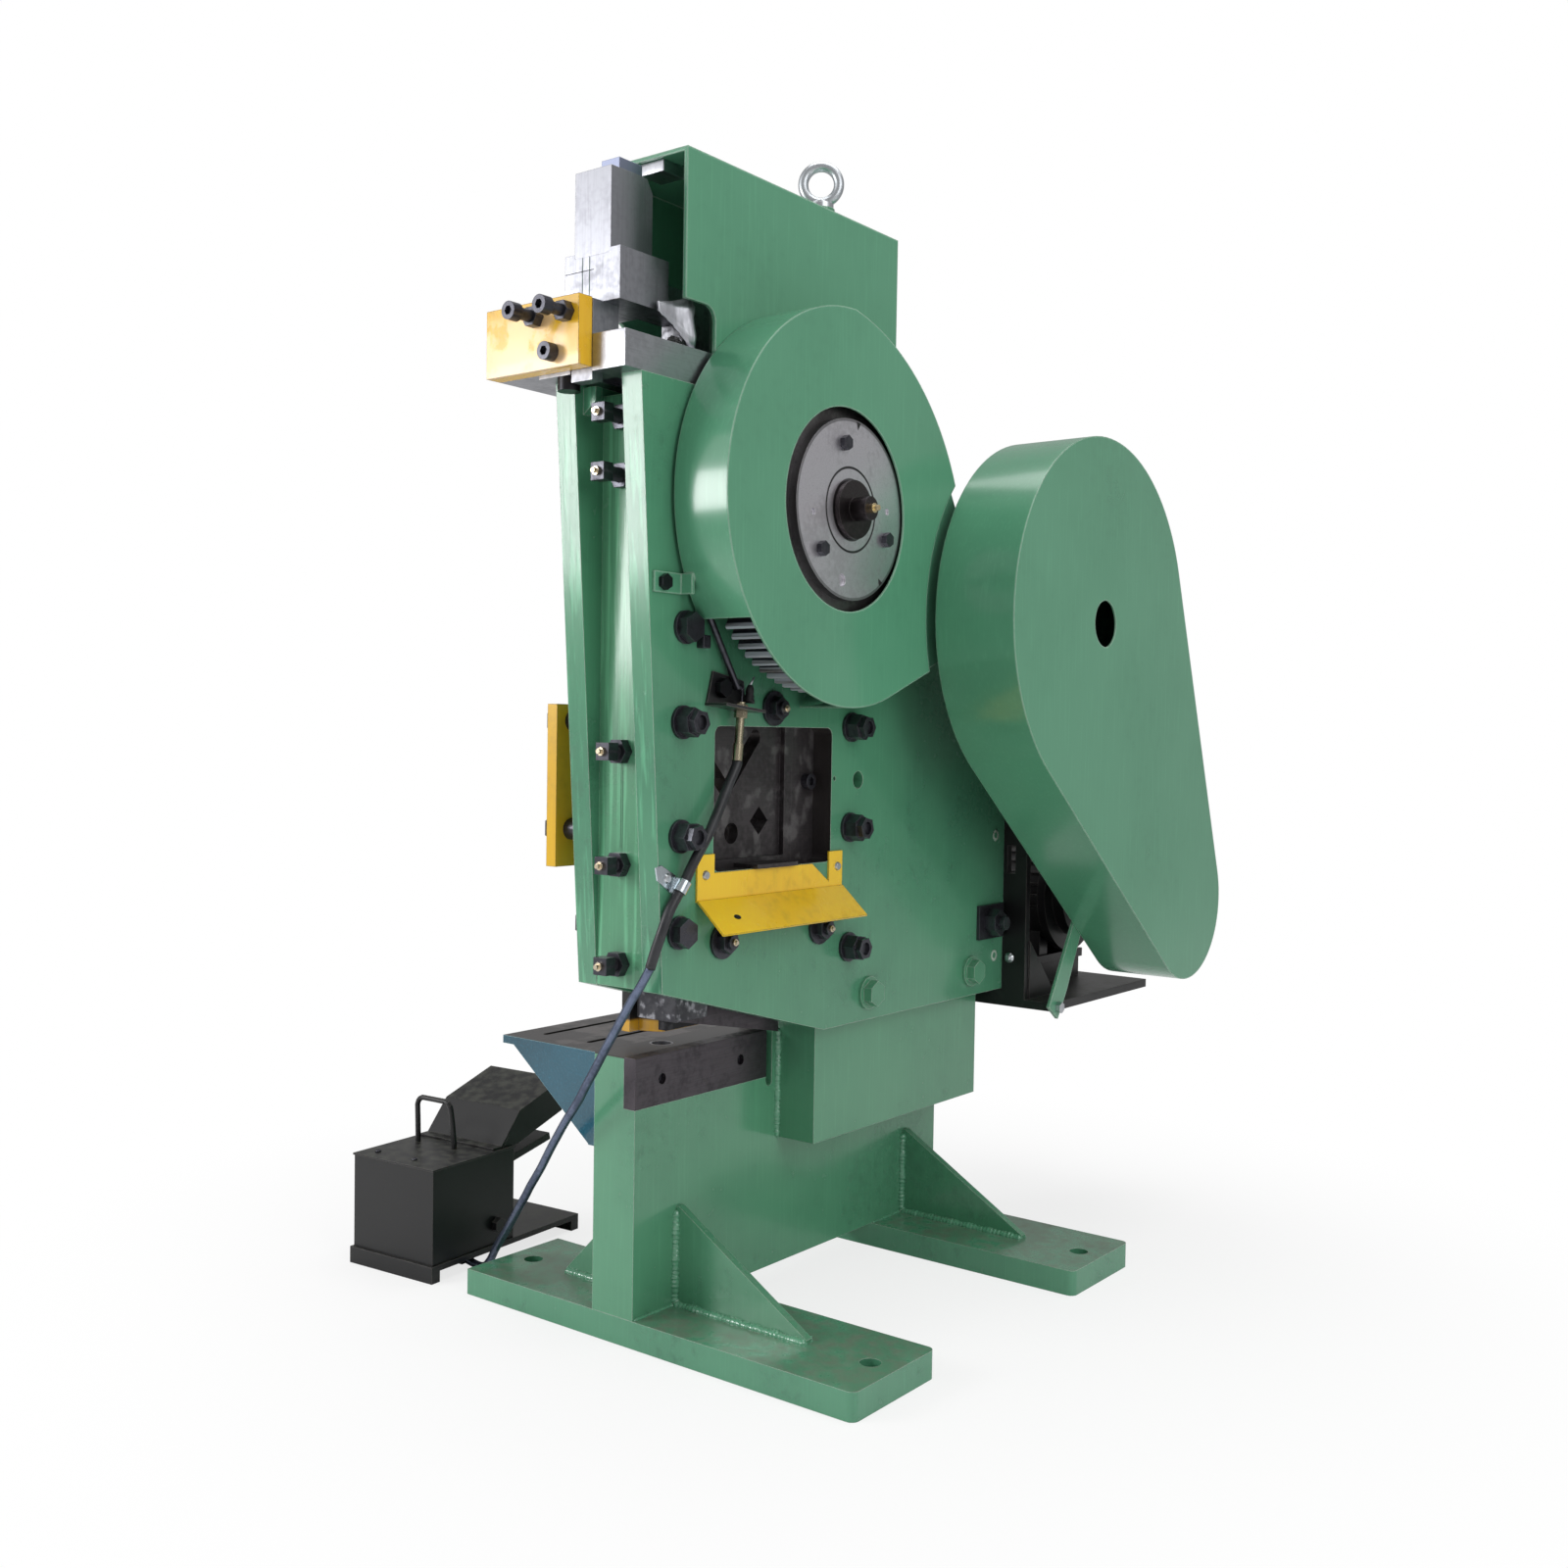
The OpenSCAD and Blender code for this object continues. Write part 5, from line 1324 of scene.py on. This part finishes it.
@dataclass
class Tooling:
    """Ram, head, blades, knives, punch, table, chute and hold-down."""

    def build(self, shop: Shop) -> None:
        """Dress the tooling.

        Args:
            shop: Where pieces are made.
        """
        shop.dress(Finish.RAM, "ram")
        shop.dress(Finish.HEAD, "ram_head")
        shop.dress(Finish.HEAD_BLOCK, "head_block")
        shop.dress(Finish.BLADE, "upper_blade", "lower_blade")
        shop.dress(Finish.DARK, "moving_profile_knife", "fixed_profile_knife", "knife_holder")
        shop.dress(Finish.BRIGHT, "punch", "die")
        shop.dress(Finish.STRIPPER, "stripper")
        shop.dress(Finish.TEAL, "die_table")
        shop.dress(Finish.YELLOW_CHUTE, "chute")
        shop.dress(Finish.YELLOW, "hold_down_plate")
        shop.dress(Finish.BLACK_OXIDE, "hold_down_spacers")


@dataclass(frozen=True)
class Run:
    """One run of cable, in millimetres, with every second ring lower by its groove."""

    name: str
    stands_for: str
    step: float
    radius: float
    groove: float
    finish: Finish
    slot: str
    points: tuple[Point, ...]

    def make(self, shop: Shop) -> None:
        """Lay the run along its points.

        Args:
            shop: Where pieces are made.
        """
        places = curve_through(metres(self.points), self.step * MM)
        radii = [(self.radius - self.groove * (k % 2)) * MM for k in range(len(places))]
        piece = shop.add(swept(places, radii, 12), self.name, self.finish, self.slot)
        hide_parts(self.stands_for)


@dataclass
class PedalCable:
    """The cable from the pedal unit to the trip rod, and what holds it."""

    sleeve: tuple[Point, ...] = (
        (103, -332, 846), (103, -332.65, 839.53), (103, -342.5, 824.3), (104, -354.7, 806.8), (106, -368.7, 786.8),
        (108, -383.3, 767), (110, -397.7, 748.8), (110, -409.7, 733.2), (107, -420.2, 716.2), (103, -429.4, 697.8),
        (101, -436.1, 684.1), (99, -447.1, 667.5), (98, -462.6, 646.7), (96.5, -470.4, 630.1), (94, -476.1, 613.3),
        (88, -479.8, 592), (82, -483.8, 567.7),
    )
    conduit: tuple[Point, ...] = (
        (82, -483.8, 567.7), (67, -485, 543), (51, -486, 521), (36, -485, 499), (14, -479, 473),
        (-8, -473, 447), (-26, -467, 426), (-44, -461, 405), (-62, -456, 384), (-80, -450, 362),
        (-96, -445, 345), (-112, -441, 328), (-128, -436, 311), (-144, -430, 294), (-162, -424, 274),
        (-180, -417, 254), (-197, -411, 234), (-214, -406, 215), (-232, -400, 196), (-250, -393, 176),
        (-270, -385, 156), (-290, -376, 136), (-311, -367, 115), (-333, -357, 94), (-356, -347, 73),
        (-378, -337, 52), (-392, -331, 36), (-404, -327, 24), (-418, -322, 14), (-434, -317, 9),
        (-452, -312, 7), (-484, -305, 7),
    )
    boot_at: Point = (101.0, -305.0, 927.0)
    pin_at: Point = (101.0, -304.0, 951.0)
    lug: tuple[Point, Point] = ((88.0, -405.0, 1000.0), (101.0, -389.0, 1018.0))

    def build(self, shop: Shop) -> None:
        """Make the cable and dress its fittings.

        Args:
            shop: Where pieces are made.
        """
        Run(
            "black_cable_sleeve", "cable_sleeve", step=4.0, radius=7.5, groove=0.12,
            finish=Finish.SLEEVE, slot="sleeve_plastic", points=self.sleeve,
        ).make(shop)
        Run(
            "wound_cable_conduit", "cable_conduit", step=1.9, radius=6.5, groove=0.95,
            finish=Finish.CONDUIT, slot="conduit_steel", points=self.conduit,
        ).make(shop)
        shop.dress(Finish.BLACK_BRACKET, "cable_brackets")
        shop.dress(Finish.FITTING, "cable_fitting")
        shop.dress(Finish.BLACK_OXIDE, "trip_rod")
        shop.dress(Finish.SLEEVE, "cable_sleeve")
        shop.dress(Finish.CONDUIT, "cable_conduit")
        top, folds = [(0, 26), (3.2, 25.5), (5.2, 22)], [(6.2, 16), (5.4, 13), (7.2, 10), (6.4, 7)]
        boot = [*top, *folds, (8, 4), (8, 0), (0, 0)]
        boot_shape = turned_shape(boot, self.boot_at, Vector((0, 0.1, 1)))
        shop.add(boot_shape, "rubber_boot", Finish.BOOT, "belt_rubber")
        pin = [(0, 17), (1.0, 17), (1.6, 15.5), (1.6, 0), (0, 0)]
        pin_shape = turned_shape(pin, self.pin_at, Vector((0, 0.6, 0.8)), 16)
        shop.add(pin_shape, "boot_pin", Finish.ZINC, "zinc")
        shop.add(eased_block(*self.lug, 1.5), "rod_stop_lug", Finish.BLACK_OXIDE, "black_oxide")


@dataclass
class PedalUnit:
    """The foot pedal with its box, hood, base and handle."""

    lid_screws: tuple[tuple[float, float], ...] = ((-604.5, -390.2), (-519.4, -384.3), (-499.5, -232.1))
    lid_top: float = 182.0

    def build(self, shop: Shop) -> None:
        """Dress the pedal unit.

        Args:
            shop: Where pieces are made.
        """
        shop.dress(
            Finish.BLACK_PAINT, "pedal_base", "pedal_box", "pedal_hood", "pedal_handle", "pedal_lever"
        )
        head = [(0, 3.0), (1.6, 3.0), (1.8, 1.9), (2.6, 3.2), (4.2, 2.6), (5.0, 1.2), (5.0, 0), (0, 0)]
        heads = [turned_shape(head, (x, y, self.lid_top), Vector((0, 0, 1)), 20) for x, y in self.lid_screws]
        shop.add(joined(heads), "pedal_lid_screws", Finish.BLACK_OXIDE, "black_oxide")


@dataclass
class Studio:
    """Camera, lamps, surrounding light and floor."""

    camera_at: Point = (1520.91, -2064.555, 888.48)
    sensor: float = 36.0
    # The sensor's width times the solved focal length, in the photo's pixels, over its 1600 pixels.
    lens: float = 36.0 * 1629.9 / 1600
    clip: tuple[float, float] = (0.05, 50.0)
    yaw: float = 37.6
    pitch: float = -1.9
    roll: float = 0.9
    surround: float = 0.38
    lamps: tuple[tuple[str, Point, Point, float, float], ...] = (
        ("window", (-1.79, -2.7, 1.55), (0.14, -0.46, 1.2), 0.95, 31),
        ("front_softbox", (-2.6, -3.4, 2.7), (0, 0, 0.8), 3.6, 44),
        ("side_softbox", (3.6, -0.8, 2.6), (0, 0, 0.9), 2.6, 48),
        ("top_softbox", (0.3, 0.2, 4.2), (0, 0, 0), 3.0, 70),
    )
    floor_radius: float = 14.0

    def camera(self) -> None:
        """Place the camera and make it the scene's own."""
        yaw, pitch, roll = (math.radians(v) for v in (self.yaw, self.pitch, self.roll))
        ahead = Vector((-math.sin(yaw) * math.cos(pitch), math.cos(yaw) * math.cos(pitch), math.sin(pitch)))
        level = Vector((math.cos(yaw), math.sin(yaw), 0))
        up = level.cross(ahead)
        right = level * math.cos(roll) + up * math.sin(roll)
        top = up * math.cos(roll) - level * math.sin(roll)
        spot = Vector(self.camera_at) * MM
        data = bpy.data.cameras.new("camera")
        data.sensor_width = self.sensor
        data.lens = self.lens
        data.clip_start, data.clip_end = self.clip
        camera = placed("camera", data)
        rows = [(right[i], top[i], -ahead[i], spot[i]) for i in range(3)]
        camera.matrix_world = Matrix((*rows, (0, 0, 0, 1)))
        bpy.context.scene.camera = camera

    def lamp(self, name: str, at: Point, aim: Point, size: float, power: float) -> None:
        """Hang one soft square lamp.

        Args:
            name: The lamp's name.
            at: Where it hangs, in metres.
            aim: What it points at.
            size: Its width.
            power: Its power in watts.
        """
        data = bpy.data.lights.new(name, "AREA")
        data.shape = "RECTANGLE"
        data.size = data.size_y = size
        data.energy = power
        lamp = placed(name, data)
        lamp.location = at
        lamp.rotation_mode = "QUATERNION"
        lamp.rotation_quaternion = (Vector(aim) - Vector(at)).to_track_quat("-Z", "Y")

    def world(self) -> None:
        """Light the surroundings, white where they are seen."""
        world = bpy.data.worlds.new("surroundings")
        world.use_nodes = True
        tree = world.node_tree
        tree.nodes.clear()
        path = tree.nodes.new("ShaderNodeLightPath")
        seen = tree.nodes.new("ShaderNodeMix")
        seen.data_type = "FLOAT"
        seen.inputs[2].default_value = self.surround
        seen.inputs[3].default_value = 1.0
        tree.links.new(path.outputs["Is Camera Ray"], seen.inputs[0])
        light = tree.nodes.new("ShaderNodeBackground")
        tree.links.new(seen.outputs[0], light.inputs["Strength"])
        light.inputs["Color"].default_value = (1, 1, 1, 1)
        out = tree.nodes.new("ShaderNodeOutputWorld")
        tree.links.new(light.outputs[0], out.inputs["Surface"])
        bpy.context.scene.world = world

    def floor(self) -> None:
        """Lay the pale floor that fades into the white around it."""
        bm = bmesh.new()
        bmesh.ops.create_circle(bm, radius=self.floor_radius, segments=64, cap_ends=True)
        floor = placed("floor", mesh_of(bm, "floor"))
        g = Graph("pale_floor")
        away = (g.x**2 + g.y**2) ** 0.5
        path = g.node("ShaderNodeLightPath")
        fade = (away.ramp(0.6, 1.5) * 0.25 + 0.75) * Val(g, path.outputs["Is Camera Ray"])
        matt = g.node("ShaderNodeBsdfPrincipled", None, {"Base Color": rgb(248, 248, 248), "Roughness": 0.8})
        glow = g.node("ShaderNodeEmission", None, {"Color": (1.0, 1.0, 1.0), "Strength": 1.0})
        both = g.node("ShaderNodeMixShader", None, {0: fade, 1: matt.outputs[0], 2: glow.outputs[0]})
        out = g.node("ShaderNodeOutputMaterial")
        g.tree.links.new(both.outputs[0], out.inputs["Surface"])
        floor.data.materials.append(g.material)

    def build(self) -> None:
        """Set the whole stage."""
        self.camera()
        self.world()
        for lamp in self.lamps:
            self.lamp(*lamp)
        self.floor()
        bpy.context.scene.view_settings.view_transform = "Standard"


def body_of_node(frame: dict[str, Any], node: str) -> str:
    """The name of the body that a node belongs to."""
    return frame["nodes"][node]["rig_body"]


def main() -> None:
    """Build the machine's looks in order."""
    logging.basicConfig(level=logging.INFO, format="%(message)s")
    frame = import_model()
    shop = Shop(frame["nodes"], Paintshop())
    Studio().build()
    PedalCable().build(shop)
    Base().build(shop)
    MachineFrame().build(shop)
    Covers().build(shop)
    Drive().build(shop, body_of_node(frame, "clutch_disc"))
    Tooling().build(shop)
    PedalUnit().build(shop)
    bare = sorted(n for n, o in frame["nodes"].items() if not o.data.materials)
    log.info("nodes without a finish: %s", bare or "none")


if __name__ == "__main__":
    main()
